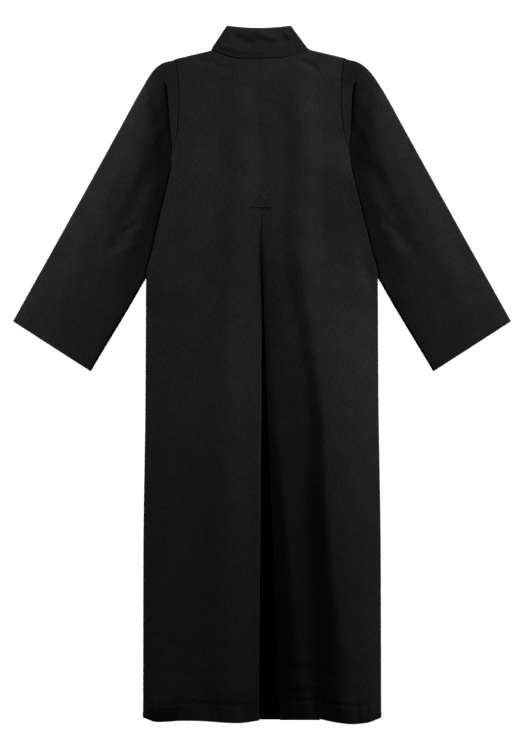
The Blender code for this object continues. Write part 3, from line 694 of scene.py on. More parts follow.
def cloth_mesh(name, rows, closed=False):
    """A grid of cloth with its outer face through rows of points that run anticlockwise as seen
    from outside: across each row, then row by row. closed joins each row's ends into a ring."""
    across = len(rows[0])
    bm = bmesh.new()
    bmesh.ops.create_grid(bm, x_segments=across - 1, y_segments=len(rows) - 1, size=1.0)
    bm.verts.ensure_lookup_table()
    for index, vertex in enumerate(bm.verts):
        vertex.co = rows[index // across][index % across]
    if closed:
        bmesh.ops.remove_doubles(bm, verts=bm.verts, dist=JOINED)
    lean(bm)
    bm.normal_update()
    for face in bm.faces:
        face.smooth = True
    for edge in bm.edges:
        edge.smooth = edge.calc_face_angle(math.pi) < CREASED_FROM
    mesh = bpy.data.meshes.new(name)
    bm.to_mesh(mesh)
    bm.free()
    return mesh


def lay_grain(mesh, degrees=0.0):
    """Gives the mesh a UV map in metres whose second axis, the warp, is turned this far from +Y."""
    turn = Matrix.Rotation(math.radians(degrees), 2)
    grain = mesh.uv_layers.new(name=GRAIN)
    for loop in mesh.loops:
        x, y, _ = mesh.vertices[loop.vertex_index].co
        grain.data[loop.index].uv = turn @ Vector((x, y))


def finish_piece(name, mesh, material, node, thickness=None, group="body"):
    """Puts the mesh in a group of the garment as the piece that stands for a CAD node."""
    mesh.materials.append(material)
    piece = bpy.data.objects.new(name, mesh)
    collection(group).objects.link(piece)
    if thickness:
        wall = piece.modifiers.new("cloth", "SOLIDIFY")
        wall.thickness = thickness
        wall.offset = -1.0
        wall.use_even_offset = False
    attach(piece, "root")
    if node:
        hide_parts(node)
    return piece


def add_suiting(name, node, rows, thickness, group, warp_turn=0.0, closed=False):
    """Makes the piece of black suiting that stands for a CAD node, from its rows of points."""
    cloth = bpy.context.scene.cassock_cloth
    mesh = cloth_mesh(name, rows, closed)
    lay_grain(mesh, warp_turn)
    material = suiting("worsted suiting, woven and piece-dyed black", cloth)
    return finish_piece(name, mesh, material, node, thickness, group)


def collection(name):
    """The collection of this name, made when it is first asked for. The body's two halves lie in the
    body's own, so that a light on the body reaches them too."""
    found = bpy.data.collections.get(name)
    if found is None:
        found = bpy.data.collections.new(name)
        holder = collection("body") if name.startswith("body_") else bpy.context.scene.collection
        holder.children.link(found)
    return found


def turned_edge(points, inward):
    """The points of a turned edge: over a half round, then back inside. points is the edge's row of
    outer points, and inward how the cloth runs away from the edge, as a unit vector for each."""
    rows = []
    for degrees in (30, 60, 90, 120, 150, 180):
        angle = math.radians(degrees)
        out, down = EDGE_TURN * math.sin(angle), EDGE_TURN * (1 - math.cos(angle))
        rows.append([p - inward * out - Vector((0, 0, down)) for p in points])
    for share in (0.4, 1.0):
        back = EDGE_RETURN * share
        rows.append([p + inward * back - Vector((0, 0, 2 * EDGE_TURN)) for p in points])
    return rows


# --- The back -----------------------------------------------------------------------------------
# How far below the top edge the first rows lie, and how far above the hem's stitching the last.
TOP_INSETS = (0.0, 0.0003, 0.0009, 0.0018, 0.0030, EDGE_ROLL, 0.0065, 0.009, 0.012, 0.016, 0.020)
BODY_ROWS = 300  # rows between the two
HEM_INSETS = (0.011, 0.008, 0.005, 0.0025, 0.0, -0.0025, -0.005, -0.008, -0.012, -0.018, -0.024,
              -0.030, -0.034)
NECK_COLUMNS = 40
SHOULDER_COLUMNS = 28
BESIDE_EDGE = 0.005  # one more column lies this share of the half width in from the side
# The columns of the turned cloth, as shares of how far it turns under.
TURN_SHARES = (1.0, 0.85, 0.7, 0.56, 0.42, 0.3, 0.2, 0.12, 0.05)
FOLD_STEPS = 8
EDGE_STEPS = 6
WALL_SHARES = (0.08, 0.5, 1.0)  # down the wall under the side's fold
WALL_UNDERCUT = 0.0008  # how far it slants in
WALL_DROP = 0.0008  # beside the armhole, where it only closes the seam


def back_columns():
    """(part, place) for each column, from the turned-under edge to the side seam. One column runs
    down from the point where the neck meets the shoulder."""
    neck = (NECK_HALF - SEAM_FOLD) / (SHOULDER_HALF - SIDE_ROLL - SEAM_FOLD)
    columns = [("turn", share) for share in TURN_SHARES]
    columns += [("fold", -90 + 180 * step / FOLD_STEPS) for step in range(FOLD_STEPS)]
    columns += [("top", neck * step / NECK_COLUMNS) for step in range(NECK_COLUMNS)]
    columns += [("top", mix(neck, 1.0, step / SHOULDER_COLUMNS)) for step in range(SHOULDER_COLUMNS)]
    columns += [("top", 1.0 - BESIDE_EDGE), ("top", 1.0)]
    columns += [("edge", 90 * (1 - (step + 1) / EDGE_STEPS)) for step in range(EDGE_STEPS)]
    columns += [("wall", share) for share in WALL_SHARES]
    return columns


def across_top(part, place):
    """How far from the centre a column starts, at the top edge."""
    if part == "top":
        return mix(SEAM_FOLD, SHOULDER_HALF - SIDE_ROLL, place)
    if part == "edge":
        return SHOULDER_HALF - SIDE_ROLL * (1 - math.cos(math.radians(place)))
    if part == "wall":
        return SHOULDER_HALF
    return 0.0


def body_heights(top, hem_y):
    """Where each row crosses a column that runs from top down to the hem."""
    first, last = top - TOP_INSETS[-1], hem_y + HEM_TURN + HEM_INSETS[0]
    heights = [top - inset for inset in TOP_INSETS[:-1]]
    heights += [mix(first, last, row / BODY_ROWS) for row in range(BODY_ROWS)]
    heights += [hem_y + HEM_TURN + inset for inset in HEM_INSETS]
    return heights + [hem_y]


def back_point(side, part, place, y, top, hem_y):
    """The back's outer face at one column, where it crosses y. side is -1 or 1."""
    edge_x = side * read(PLEAT_EDGE, y, "left" if side < 0 else "right")
    opened = smooth((PLEAT_TOP_Y - y) / PLEAT_OPENS_OVER)
    fold = mix(SEAM_FOLD, PLEAT_FOLD, opened)
    fold_width = mix(SEAM_FOLD_WIDTH, PLEAT_FOLD_WIDTH, opened)
    half = side_half(y)
    if part == "top":
        x = mix(edge_x + fold_width, half - SIDE_ROLL, place)
        return Vector((side * x, y, back_height(side * x, y, top - y, hem_y)))
    if part in ("edge", "wall"):
        degrees = place if part == "edge" else 0.0
        x = half - SIDE_ROLL * (1 - math.cos(math.radians(degrees)))
        z = back_height(side * x, y, top - y, hem_y)
        z -= SIDE_ROLL * (1 - math.sin(math.radians(degrees))) * below_underarm(y)
        if part == "wall":
            x -= WALL_UNDERCUT * place * below_underarm(y)
            seam = FRONT_TOP + SEAM_GAP + side_lift(y)
            z = mix(z, mix(z - WALL_DROP, seam, below_underarm(y)), place)
        return Vector((side * x, y, z))
    crown = back_height(side * (edge_x + fold_width), y, top - y, hem_y)
    if part == "fold":
        angle = math.radians(place)
        x = edge_x + fold_width * (1 - math.cos(angle))
        sewn = (1 - opened) * (1 - smooth((math.sin(angle) + SEWN_FROM) / SEWN_EASE))
        return Vector((side * mix(x, 0.0, sewn), y, crown - fold + fold * math.sin(angle)))
    on_underlay = smooth((PLEAT_TOP_Y + TURN_DROPS_OVER - y) / TURN_DROPS_OVER)
    base = min(mix(SEAM_BASE, TURN_BASE, on_underlay), crown - 2 * fold)
    inset = fold + place * (pleat_turn(y) - fold)
    settled = smooth((inset - fold) / TURN_SETTLES_OVER)
    return Vector((side * (edge_x + inset), y, mix(crown - 2 * fold, base, settled)))


def back_rows(side):
    columns = []
    for part, place in back_columns():
        start = across_top(part, place)
        top, hem_y = top_y(start, neck_back_y), hem_below(side, start)
        heights = body_heights(top, hem_y)
        columns.append([back_point(side, part, place, y, top, hem_y) for y in heights])
    rows = [list(row) for row in zip(*columns)]
    rows += turned_edge(rows[-1], Vector((0, 1, 0)))
    for point in (point for row in rows for point in row):
        point.z = max(point.z, FRONT_TOP)
    return [row if side > 0 else row[::-1] for row in rows[::-1]]


class CASSOCK_OT_backs(bpy.types.Operator):
    """Make both halves of the back, with the turned folds of the pleat"""

    bl_idname = "cassock.backs"
    bl_label = "Backs"

    def execute(self, context):
        thickness = context.scene.cassock_cloth.thickness
        for side, word in SIDES:
            piece = add_suiting(
                f"back_{word}_cloth", f"back_{word}", back_rows(side), thickness, f"body_{word}"
            )
        return {"FINISHED"}


# --- The pleat's underlay -----------------------------------------------------------------------
UNDERLAY_COLUMNS = 24
UNDERLAY_ROWS = 120
UNDERLAY_SHORTER = 0.004  # the underlay stops this far above the hem


def underlay_rows():
    """The strip behind the pleat, which joins the two turned edges."""
    lowest = HEM_Y + UNDERLAY_SHORTER
    rows = []
    for row in range(UNDERLAY_ROWS + 1):
        y = mix(lowest, PLEAT_TOP_Y - PLEAT_OPENS_OVER / 2, row / UNDERLAY_ROWS)
        left = read(PLEAT_EDGE, y, "left") - pleat_turn(y)
        right = read(PLEAT_EDGE, y, "right") + pleat_turn(y)
        xs = [mix(left, right, column / UNDERLAY_COLUMNS) for column in range(UNDERLAY_COLUMNS + 1)]
        rows.append([Vector((x, y, SEAM_BASE + FRAME_CLOTH)) for x in xs])
    return rows


class CASSOCK_OT_underlay(bpy.types.Operator):
    """Make the strip of cloth behind the pleat"""

    bl_idname = "cassock.underlay"
    bl_label = "Pleat underlay"

    def execute(self, context):
        thickness = context.scene.cassock_cloth.thickness
        piece = add_suiting("underlay_cloth", "pleat_underlay", underlay_rows(), thickness, "inside")
        return {"FINISHED"}


# --- The fronts ---------------------------------------------------------------------------------
FRONT_ROWS = 130
FRONT_MIDDLES = 24
FRONT_SIDES = 14
FRONT_INSET = LIFT_WIDTH + LIFT_EASE  # the side columns lie this near the side seam
FRONT_SPREADS = 0.08  # the middle columns reach the body's width after this share of their length


def front_columns():
    columns = [("centre", x) for x in (-LAP, -LAP / 2, 0.0, LAP / 2, LAP, LAP + LAP_STEP / 2)]
    columns += [("middle", step / FRONT_MIDDLES) for step in range(FRONT_MIDDLES)]
    columns += [("side", FRONT_INSET * (1 - step / FRONT_SIDES)) for step in range(FRONT_SIDES + 1)]
    return columns


def front_x(part, place, half):
    if part == "centre":
        return place
    if part == "middle":
        return mix(LAP + LAP_STEP, half - FRONT_INSET, place)
    return half - place


def front_rows(side):
    """The wearer's left front is outermost, so it lies lowest, and the right steps up over it."""
    rows = []
    for row in range(FRONT_ROWS + 1):
        share = row / FRONT_ROWS
        points = []
        for part, place in front_columns():
            start = front_x(part, place, SHOULDER_HALF)
            hem_y = hem_below(side, start) + FRONT_SHORTER
            y = mix(top_y(start, neck_front_y), hem_y, share)
            x = front_x(part, place, side_half(y))
            if part == "middle":
                x = mix(start, x, smooth(share / FRONT_SPREADS))
            lifted = LAP_LIFT * (1 - smooth((x - LAP) / LAP_STEP)) if side > 0 else 0.0
            points.append(Vector((side * x, y, front_height(x, y) + lifted)))
        rows.append(points[::-1] if side > 0 else points)
    return rows[::-1]


class CASSOCK_OT_fronts(bpy.types.Operator):
    """Make both fronts, which lie lapped on the floor"""

    bl_idname = "cassock.fronts"
    bl_label = "Fronts"

    def execute(self, context):
        thickness = context.scene.cassock_cloth.thickness
        for side, word in SIDES:
            piece = add_suiting(
                f"front_{word}_cloth", f"front_{word}", front_rows(side), thickness, "body"
            )
        return {"FINISHED"}


# --- The sleeves --------------------------------------------------------------------------------
SleeveRow = namedtuple("SleeveRow", "reach upper_x upper_y under_x under_y crease")


def sleeve_table():
    """The sleeve's rows, each with its distance down the upper edge from the armhole."""
    rows, reach = [], 0.0
    for index, ring in enumerate(RINGS):
        if index:
            before = RINGS[index - 1]
            reach += math.dist(ring[:2], before[:2])
        rows.append(SleeveRow(reach, *ring))
    return rows


SLEEVE = sleeve_table()
FOLD_REACH = SLEEVE[FOLD_RING].reach
SLEEVE_LENGTH = SLEEVE[-1].reach
STRIP_STEPS = 9  # rings from the armhole to the cap's fold
STRIP_SHARE = 0.98  # the last of them is this share of the way
SLEEVE_RINGS = 150  # rings beyond the fold
RING_SPREAD = 1.25  # above 1, they lie closer together near the fold
QUIET_SHARE = 0.05  # within this share of the width the creases die out towards each edge
TOP_STEPS = 54
FLOOR_STEPS = 24
ROLL_STEPS = 8

# The cap's fold in section: how far past its lip each ring is, and how high, where it is full.
TuckRing = namedtuple("TuckRing", "past height")
TUCK = (
    TuckRing(-0.0020, TUCK_CREST),
    TuckRing(-0.0004, TUCK_CREST - 0.0001),
    TuckRing(-0.0001, TUCK_CREST - 0.0005),
    TuckRing(0.0, TUCK_CREST - 0.0014),
    TuckRing(-0.0005, TUCK_UNDER + 0.0010),
    TuckRing(-0.0016, TUCK_UNDER + 0.0003),
    TuckRing(-0.0034, TUCK_UNDER),
    TuckRing(-TUCK_DEPTH, TUCK_UNDER - 0.0001),
    TuckRing(-TUCK_DEPTH - 0.0006, TUCK_UNDER - 0.0003),
    TuckRing(-TUCK_DEPTH, TUCK_FLOOR),
    TuckRing(-0.0030, TUCK_FLOOR - 0.0001),
    TuckRing(0.0008, TUCK_FLOOR - 0.0002),
    TuckRing(0.0036, TUCK_FLOOR - 0.0001),
)
TUCK_REACH = 0.0082  # length of sleeve in which the fold's rings lie where it has died out

# The armhole's seam allowance, which lies inside the body: how far in each ring is, how high over
# the front, and how far below the back.
Allowance = namedtuple("Allowance", "inside over_front under_back")
ALLOWANCES = (
    Allowance(0.0080, 0.0017, 0.0026),
    Allowance(0.0040, 0.0016, 0.0026),
    Allowance(0.0012, 0.0014, 0.0024),
)
ALLOWANCE_DROPS = 0.15  # the last share of the armhole, over which they drop below the underarm


def sleeve_line(reach):
    """(x, y) of both ends of the ring this far down the sleeve."""
    return [read(SLEEVE, reach, column) for column in ("upper_x", "upper_y", "under_x", "under_y")]


def sleeve_place(reach, share):
    """Where a ring passes over, in plan, share of the way from the upper edge to the underarm."""
    upper_x, upper_y, under_x, under_y = sleeve_line(reach)
    y = mix(upper_y, under_y, share)
    x = mix(upper_x, under_x, share)
    seam_x = side_half(y) + SEWN_GAP
    return mix(seam_x, x, min(reach / FOLD_REACH, 1.0)), y


def sleeve_height(reach, share):
    """The sleeve's upper face: a low dome along the arm, which dives beside the armhole and the
    body's side to pass beneath them."""
    x, y = sleeve_place(reach, share)
    out = x - side_half(y)
    upper_y = read(SLEEVE, reach, "upper_y")
    loft = mix(CUFF_LOFT, SLEEVE_LOFT, smooth((upper_y - RINGS[-1].upper_y) / LOFT_GROWS))
    own = mix(SLEEVE_EDGE, loft, max(math.sin(math.pi * share**CREST_PLACE), 0.0) ** DOME_POWER)
    quiet = smooth(share / QUIET_SHARE) * smooth((1 - share) / QUIET_SHARE)
    own += creased(x, y, SLEEVE_CREASES) * quiet
    by_seam = mix(SLEEVE_INNER, ARMHOLE_HEIGHT, smooth((y - UNDERARM_Y) / ARMHOLE_RISES))
    steep = 1 - (1 - min(max(out, 0.0) / DIVE_WIDTH, 1.0)) ** 2
    height = mix(by_seam, own, mix(smooth(out / DIVE_WIDTH_TOP), steep, tucked(y)))
    hollow = read(SLEEVE, reach, "crease") * CREASE_DEPTH * smooth((CREASE_TOP_Y - y) / CREASE_EASE)
    hollow *= hump((out - CREASE_OUT) / CREASE_WIDTH)
    hollow *= smooth((y - UNDERARM_Y + CREASE_FADES) / CREASE_FADES)
    seam = ARMHOLE_DIP * (1 - round_over(out / ARMHOLE_DIP_WIDTH)) * (1 - below_underarm(y))
    beside = GUTTER * (1 - round_over(out / GUTTER_WIDTH)) * below_underarm(y)
    return max(height - hollow - seam - beside, GUTTER_FLOOR)


def tucked(y):
    """How much of the cap's fold there is at this height: all of it, but for its end."""
    return smooth((CREASE_TOP_Y - y) / CREASE_EASE)


def sleeve_rings():
    """(distance down the sleeve, the fold's own ring or None) for each ring."""
    rings = [
        (FOLD_REACH * STRIP_SHARE * step / STRIP_STEPS, None) for step in range(STRIP_STEPS + 1)
    ]
    for index, ring in enumerate(TUCK):
        rings.append((FOLD_REACH + TUCK_REACH * index / (len(TUCK) - 1), ring))
    first = FOLD_REACH + TUCK_REACH
    for step in range(1, SLEEVE_RINGS + 1):
        eased = (step / SLEEVE_RINGS) ** RING_SPREAD
        rings.append((mix(first, SLEEVE_LENGTH, eased), None))
    return rings


def top_point(reach, tuck, share):
    """A point on the sleeve's upper face, as (x, y, z) on the wearer's right."""
    x, y = sleeve_place(reach, share)
    z = sleeve_height(reach, share)
    full = smooth((TUCK_TOP_Y - y) / TUCK_EASE) * (1 - smooth((share - TUCK_END) / TUCK_END_EASE))
    if tuck:
        lip_x, _ = sleeve_place(FOLD_REACH, share)
        x = mix(x, lip_x + tuck.past, full)
        z = mix(z, tuck.height, full)
    elif reach < FOLD_REACH:
        along = reach / FOLD_REACH
        flat = mix(ARMHOLE_HEIGHT, TUCK_CREST, along)
        z = mix(z, flat, full * smooth(along / TUCK_RISES))
    return Vector((x, y, z))


def sleeve_ring(side, reach, tuck):
    """The closed outline of one ring: over the top, round the underarm, back along the floor and
    round the upper edge."""
    width = math.dist(sleeve_place(reach, 0.0), sleeve_place(reach, 1.0))
    roll = SLEEVE_ROLL / width
    upper, under = sleeve_height(reach, 0.0), sleeve_height(reach, 1.0)
    steps = [mix(roll, 1 - roll, step / TOP_STEPS) for step in range(TOP_STEPS + 1)]
    points = [top_point(reach, tuck, share) for share in steps]
    section = []
    for step in range(1, ROLL_STEPS):
        angle = math.radians(90 - 180 * step / ROLL_STEPS)
        section.append((1 - roll * (1 - math.cos(angle)), under / 2 * (1 + math.sin(angle))))
    section += [(mix(1 - roll, roll, step / FLOOR_STEPS), 0.0) for step in range(FLOOR_STEPS + 1)]
    for step in range(1, ROLL_STEPS):
        angle = math.radians(-90 + 180 * step / ROLL_STEPS)
        section.append((roll * (1 - math.cos(angle)), upper / 2 * (1 + math.sin(angle))))
    points += [Vector((*sleeve_place(reach, share), z)) for share, z in section]
    points.append(points[0].copy())
    for point in points:
        point.x *= side
    return points if side > 0 else points[::-1]


def allowance_ring(side, allowance):
    """One ring of the seam allowance, which follows the armhole's own ring inside the body."""
    ring = sleeve_ring(1, 0.0, None)
    for point in ring:
        on_top = point.z > ARMHOLE_HEIGHT / 2
        along = (SHOULDER_Y - point.y) / (SHOULDER_Y - UNDERARM_Y)
        point.x = min(point.x, side_half(point.y)) - allowance.inside
        point.y -= allowance.inside * smooth((along - (1 - ALLOWANCE_DROPS)) / ALLOWANCE_DROPS)
        point.z = point.z - allowance.under_back if on_top else allowance.over_front
        point.x *= side
    return ring if side > 0 else ring[::-1]


class CASSOCK_OT_sleeves(bpy.types.Operator):
    """Make both sleeves, each a flattened tube with a fold at its cap"""

    bl_idname = "cassock.sleeves"
    bl_label = "Sleeves"

    def execute(self, context):
        thickness = context.scene.cassock_cloth.thickness
        elbow, cuff = RINGS[-2:]
        slant = math.degrees(math.atan2(cuff.upper_x - elbow.upper_x, elbow.upper_y - cuff.upper_y))
        for side, word in SIDES:
            rows = [allowance_ring(side, allowance) for allowance in ALLOWANCES]
            rows += [sleeve_ring(side, reach, tuck) for reach, tuck in sleeve_rings()]
            piece = add_suiting(
                f"sleeve_{word}_cloth", f"sleeve_{word}", rows, thickness, f"sleeve_{word}",
                warp_turn=-side * slant, closed=True,
            )
        return {"FINISHED"}


# --- The collar ---------------------------------------------------------------------------------
COLLAR_ROWS = 18
COLLAR_COLUMNS = 22
COLLAR_TOP_ROLL = 0.0022  # the band's top edge rounds down this far
COLLAR_FOOT_ROLL = 0.0030  # and its foot, at the neck seam
COLLAR_PAINTED_SHADE = 0.60  # painted shade: the pressed collar's suiting is painted this much darker than the rest, for the less light that falls on it
COLLAR_ROLL_SHARE = 0.06  # both over this share of its height
COLLAR_FACE = 0.6  # the waves and rolls are on what lies above this share of its thickness
COLLAR_GROOVE = 0.0006  # depth of the dip along its stitched foot
COLLAR_GROOVE_UP = 0.12  # which is this share of the way up
COLLAR_GROOVE_WIDTH = 0.07
COLLAR_WAVES = (
    Crease(-0.070, 0.728, -0.010, 0.706, 0.012, -0.0011),
    Crease(-0.020, 0.735, 0.045, 0.716, 0.011, 0.0012),
    Crease(0.020, 0.712, 0.080, 0.722, 0.010, -0.0009),
    Crease(-0.090, 0.705, -0.045, 0.698, 0.008, 0.0008),
    Crease(0.050, 0.738, 0.066, 0.712, 0.009, 0.0008),
)


def collar_point(up, x, y, z, top):
    """Adds the band's soft waves, its stitched foot and its rounded top to a point of its outline."""
    over = smooth((z - top * COLLAR_FACE) / (top * (1 - COLLAR_FACE)))
    foot = COLLAR_GROOVE * hump((up - COLLAR_GROOVE_UP) / COLLAR_GROOVE_WIDTH)
    foot += COLLAR_FOOT_ROLL * (1 - round_over(up / COLLAR_ROLL_SHARE))
    head = COLLAR_TOP_ROLL * (1 - round_over((1 - up) / COLLAR_ROLL_SHARE))
    return Vector((x, y, z + over * (creased(x, y, COLLAR_WAVES) - foot - head)))


def collar_line(up):
    """The collar's outline at one height, as seen from above: along the underside from one end to
    the fold at the side, across the back, and to the other end. up is 0 at the neck seam."""
    half = mix(NECK_HALF, COLLAR_TOP_HALF, up)
    side_y = mix(NECK_SIDE_Y, COLLAR_TOP_Y, up)
    top = back_height(0.0, NECK_BACK_Y, 1.0) + COLLAR_LIFT
    roll = top / 2
    sag = mix(NECK_SIDE_Y - NECK_BACK_Y, COLLAR_TOP_DIP, up)

    def back_y(x):
        return side_y - sag * (1 - (x / half) ** 2) - NECK_LAP * (1 - up)

    def front_y(x):
        base = neck_front_y(x / half * NECK_HALF)
        return mix(base + 2 * GAP, min(base + COLLAR_HEIGHT_FRONT, COLLAR_TOP_Y), up)

    steps = [step / COLLAR_COLUMNS for step in range(COLLAR_COLUMNS)]
    right = []
    for share in steps:
        x = mix(COLLAR_OPENING, half - roll, share)
        right.append((x, front_y(x), 0.0))
    for step in range(2 * ROLL_STEPS + 1):
        angle = math.radians(-90 + 90 * step / ROLL_STEPS)
        x = half - roll * (1 - math.cos(angle))
        y = front_y(x) if angle < 0 else back_y(x)
        right.append((x, y, roll * (1 + math.sin(angle))))
    for share in steps[:0:-1]:
        x = mix(0.0, half - roll, share)
        right.append((x, back_y(x), top))
    line = [(-x, y, z) for x, y, z in right] + [(0.0, back_y(0.0), top)] + right[::-1]
    shift = COLLAR_LEAN * round_over(up)
    return [collar_point(up, x - shift, y, z, top) for x, y, z in line]


class CASSOCK_OT_collar(bpy.types.Operator):
    """Make the stand collar"""

    bl_idname = "cassock.collar"
    bl_label = "Collar"

    def execute(self, context):
        cloth = context.scene.cassock_cloth
        # The collar's suiting is a darker copy of the rest: painted shade.
        material = suiting("worsted suiting of the fused collar, with painted shade", cloth, COLLAR_PAINTED_SHADE)
        rows = [collar_line(row / COLLAR_ROWS) for row in range(COLLAR_ROWS + 1)]
        mesh = cloth_mesh("collar_cloth", rows)
        lay_grain(mesh, 90.0)
        piece = finish_piece(
            "collar_cloth", mesh, material, "collar", cloth.collar_thickness,
            group="body_right",
        )
        return {"FINISHED"}


# --- The stitched triangle ----------------------------------------------------------------------
# Where its rows and columns lie, as shares of the height and of half the width: close to each
# edge, so that the cloth turns down sharply there.
TACK_UPS = (0.0, 0.015, 0.05, 0.12, 0.24, 0.38, 0.52, 0.66, 0.8, 0.92, 1.0)
TACK_ACROSS = (0.0, 0.2, 0.4, 0.6, 0.76, 0.88, 0.95, 0.985, 1.0)
TACK_CLOTH = 0.0003  # its wall, thin enough to lie flat over the pleat's top
TACK_LIFT = 0.0001  # clear space below it
TACK_PUFF = 0.0002  # how far its middle stands up
TACK_PUFF_EDGE = 0.3  # it comes down within this share of the way in from each edge


def tack_rows():
    """A small triangle of cloth over the top of the pleat, laid on the back's own points."""
    rows = []
    for up in TACK_UPS:
        y = PLEAT_TOP_Y + TACK_HEIGHT * up
        half = mix(TACK_HALF, TACK_TIP, up)
        points = []
        for across in [-share for share in TACK_ACROSS[:0:-1]] + list(TACK_ACROSS):
            edge = min(1 - abs(across), up)
            x = half * across
            puff = TACK_PUFF * smooth(edge / TACK_PUFF_EDGE)
            points.append(Vector((x, y, back_height(x, y, 1.0) + TACK_LIFT + TACK_CLOTH + puff)))
        rows.append(points)
    return rows


class CASSOCK_OT_tack(bpy.types.Operator):
    """Make the stitched triangle over the top of the pleat"""

    bl_idname = "cassock.tack"
    bl_label = "Pleat tack"

    def execute(self, context):
        piece = add_suiting("tack_cloth", "pleat_tack", tack_rows(), TACK_CLOTH, "body_right")
        return {"FINISHED"}


# --- Stitching ----------------------------------------------------------------------------------
THREAD = 0.0007  # the sewing thread's thickness, twice what it really is so that it shows
STITCH_SHARE = 0.62  # how much of each stitch's length shows, before it goes under
STITCH_SINK = 0.0001  # how deep it lies in the cloth
LINE_STARTS = 0.002  # a line of stitches starts this far from a fold or an edge
HEM_POINTS = 8  # points for each stitch on the hem's line
COLLAR_SEWN_UP = 0.10  # the collar's line, as a share of its height
COLLAR_SEWN_FACE = 0.75  # it shows above this share of the collar's thickness
COLLAR_POINTS = 12  # points on it between two of the collar's own
TACK_SEWN = 0.86  # the triangle's line, as a share of its size
TACK_POINTS = 90  # points on each of its sides
TACK_STITCH = 0.8  # length of a stitch there, as a share of the usual
BAR_HALF = 0.0225  # half the length of the bar along its foot
BAR_STEPS = 60  # steps along it: a stitch starts at each, and is two of them long


def add_stitch(bm, start, end):
    """One stitch: a short rounded bar of thread from start to end."""
    middle, run = (start + end) / 2, end - start
    made = bmesh.ops.create_uvsphere(bm, u_segments=6, v_segments=4, radius=0.5)["verts"]
    size = Matrix.Diagonal((run.length, THREAD, THREAD, 1.0))
    turn = run.to_track_quat("X", "Z").to_matrix().to_4x4()
    bmesh.ops.transform(bm, matrix=Matrix.Translation(middle) @ turn @ size, verts=made)


def stitch_along(bm, points, length):
    """A row of stitches along a line of points, one for each length of it."""
    travelled, start = 0.0, points[0]
    for before, after in zip(points, points[1:]):
        travelled += (after - before).length
        if travelled >= length:
            add_stitch(bm, start, start + (after - start) * STITCH_SHARE)
            travelled, start = 0.0, after


def on_back(x, y, lift=THREAD / 2 - STITCH_SINK):
    """A point on the back's outer face."""
    hem_y = read(HEM, x, "y")
    return Vector((x, y, back_height(x, y, top_y(x, neck_back_y) - y, hem_y) + lift))


def hem_stitches(bm, side, length):
    """The line of stitches that holds the hem."""
    y_mid = HEM_Y + HEM_TURN
    edge_x = side * read(PLEAT_EDGE, y_mid, "left" if side < 0 else "right")
    first = edge_x + PLEAT_FOLD + LINE_STARTS
    last = side_half(y_mid) - EDGE_ROLL
    count = int((last - first) / length * HEM_POINTS)
    xs = [side * mix(first, last, step / count) for step in range(count + 1)]
    stitch_along(bm, [on_back(x, read(HEM, x, "y") + HEM_TURN) for x in xs], length)


def collar_stitches(bm, length):
    """The line of stitches just above the neck seam."""
    line = collar_line(COLLAR_SEWN_UP)
    top = max(point.z for point in line)
    shown = [point for point in line if point.z > top * COLLAR_SEWN_FACE]
    dense = []
    for before, after in zip(shown, shown[1:]):
        dense += [before.lerp(after, step / COLLAR_POINTS) for step in range(COLLAR_POINTS)]
    lift = Vector((0, 0, THREAD / 2 - STITCH_SINK))
    stitch_along(bm, [point + lift for point in dense], length)


def tack_stitches(bm, length):
    """The stitching round the triangle, and the close bar along its foot."""
    corners = [
        Vector((-TACK_HALF * TACK_SEWN, PLEAT_TOP_Y + LINE_STARTS)),
        Vector((0.0, PLEAT_TOP_Y + TACK_HEIGHT * TACK_SEWN)),
        Vector((TACK_HALF * TACK_SEWN, PLEAT_TOP_Y + LINE_STARTS)),
    ]
    lift = TACK_LIFT + TACK_CLOTH + TACK_PUFF
    for start, end in zip(corners, corners[1:]):
        line = [start.lerp(end, step / TACK_POINTS) for step in range(TACK_POINTS + 1)]
        stitch_along(bm, [on_back(p.x, p.y, lift) for p in line], length * TACK_STITCH)
    xs = [mix(-BAR_HALF, BAR_HALF, step / BAR_STEPS) for step in range(BAR_STEPS + 1)]
    bar = [on_back(x, PLEAT_TOP_Y, lift) for x in xs]
    for before, after in zip(bar, bar[2:]):
        add_stitch(bm, before, after)


class CASSOCK_OT_stitching(bpy.types.Operator):
    """Sew the hem, the collar's foot and the triangle over the pleat"""

    bl_idname = "cassock.stitching"
    bl_label = "Stitching"

    def execute(self, context):
        cloth = context.scene.cassock_cloth
        material = sewing_thread(cloth)
        jobs = {
            "hem_stitches_left": lambda bm: hem_stitches(bm, -1, cloth.stitch * 2),
            "hem_stitches_right": lambda bm: hem_stitches(bm, 1, cloth.stitch * 2),
            "collar_stitches": lambda bm: collar_stitches(bm, cloth.stitch),
            "tack_stitches": lambda bm: tack_stitches(bm, cloth.stitch),
        }
        for name, sew in jobs.items():
            bm = bmesh.new()
            sew(bm)
            lean(bm)
            mesh = bpy.data.meshes.new(name)
            bm.to_mesh(mesh)
            bm.free()
            mesh.shade_smooth()
            half = "left" if name.endswith("left") else "right"
            finish_piece(name, mesh, material, None, group=f"body_{half}")
        return {"FINISHED"}


# --- Materials ----------------------------------------------------------------------------------
def set_inputs(node, values):
    for socket, value in values.items():
        node.inputs[socket].default_value = value


def add_node(material, kind, links=None, **settings):
    """Adds a node of this kind. links gives, for each of its inputs, the output that feeds it, and
    settings the values of its properties or, in inputs, of its sockets."""
    tree = material.node_tree
    made = tree.nodes.new(kind)
    set_inputs(made, settings.pop("inputs", {}))
    for name, value in settings.items():
        setattr(made, name, value)
    for socket, source in (links or {}).items():
        tree.links.new(source, made.inputs[socket])
    return made


def new_material(name):
    """A material with its shader joined to its output, as (material, shader)."""
    material = bpy.data.materials.new(name)
    material.use_nodes = True
    return material, material.node_tree.nodes["Principled BSDF"]


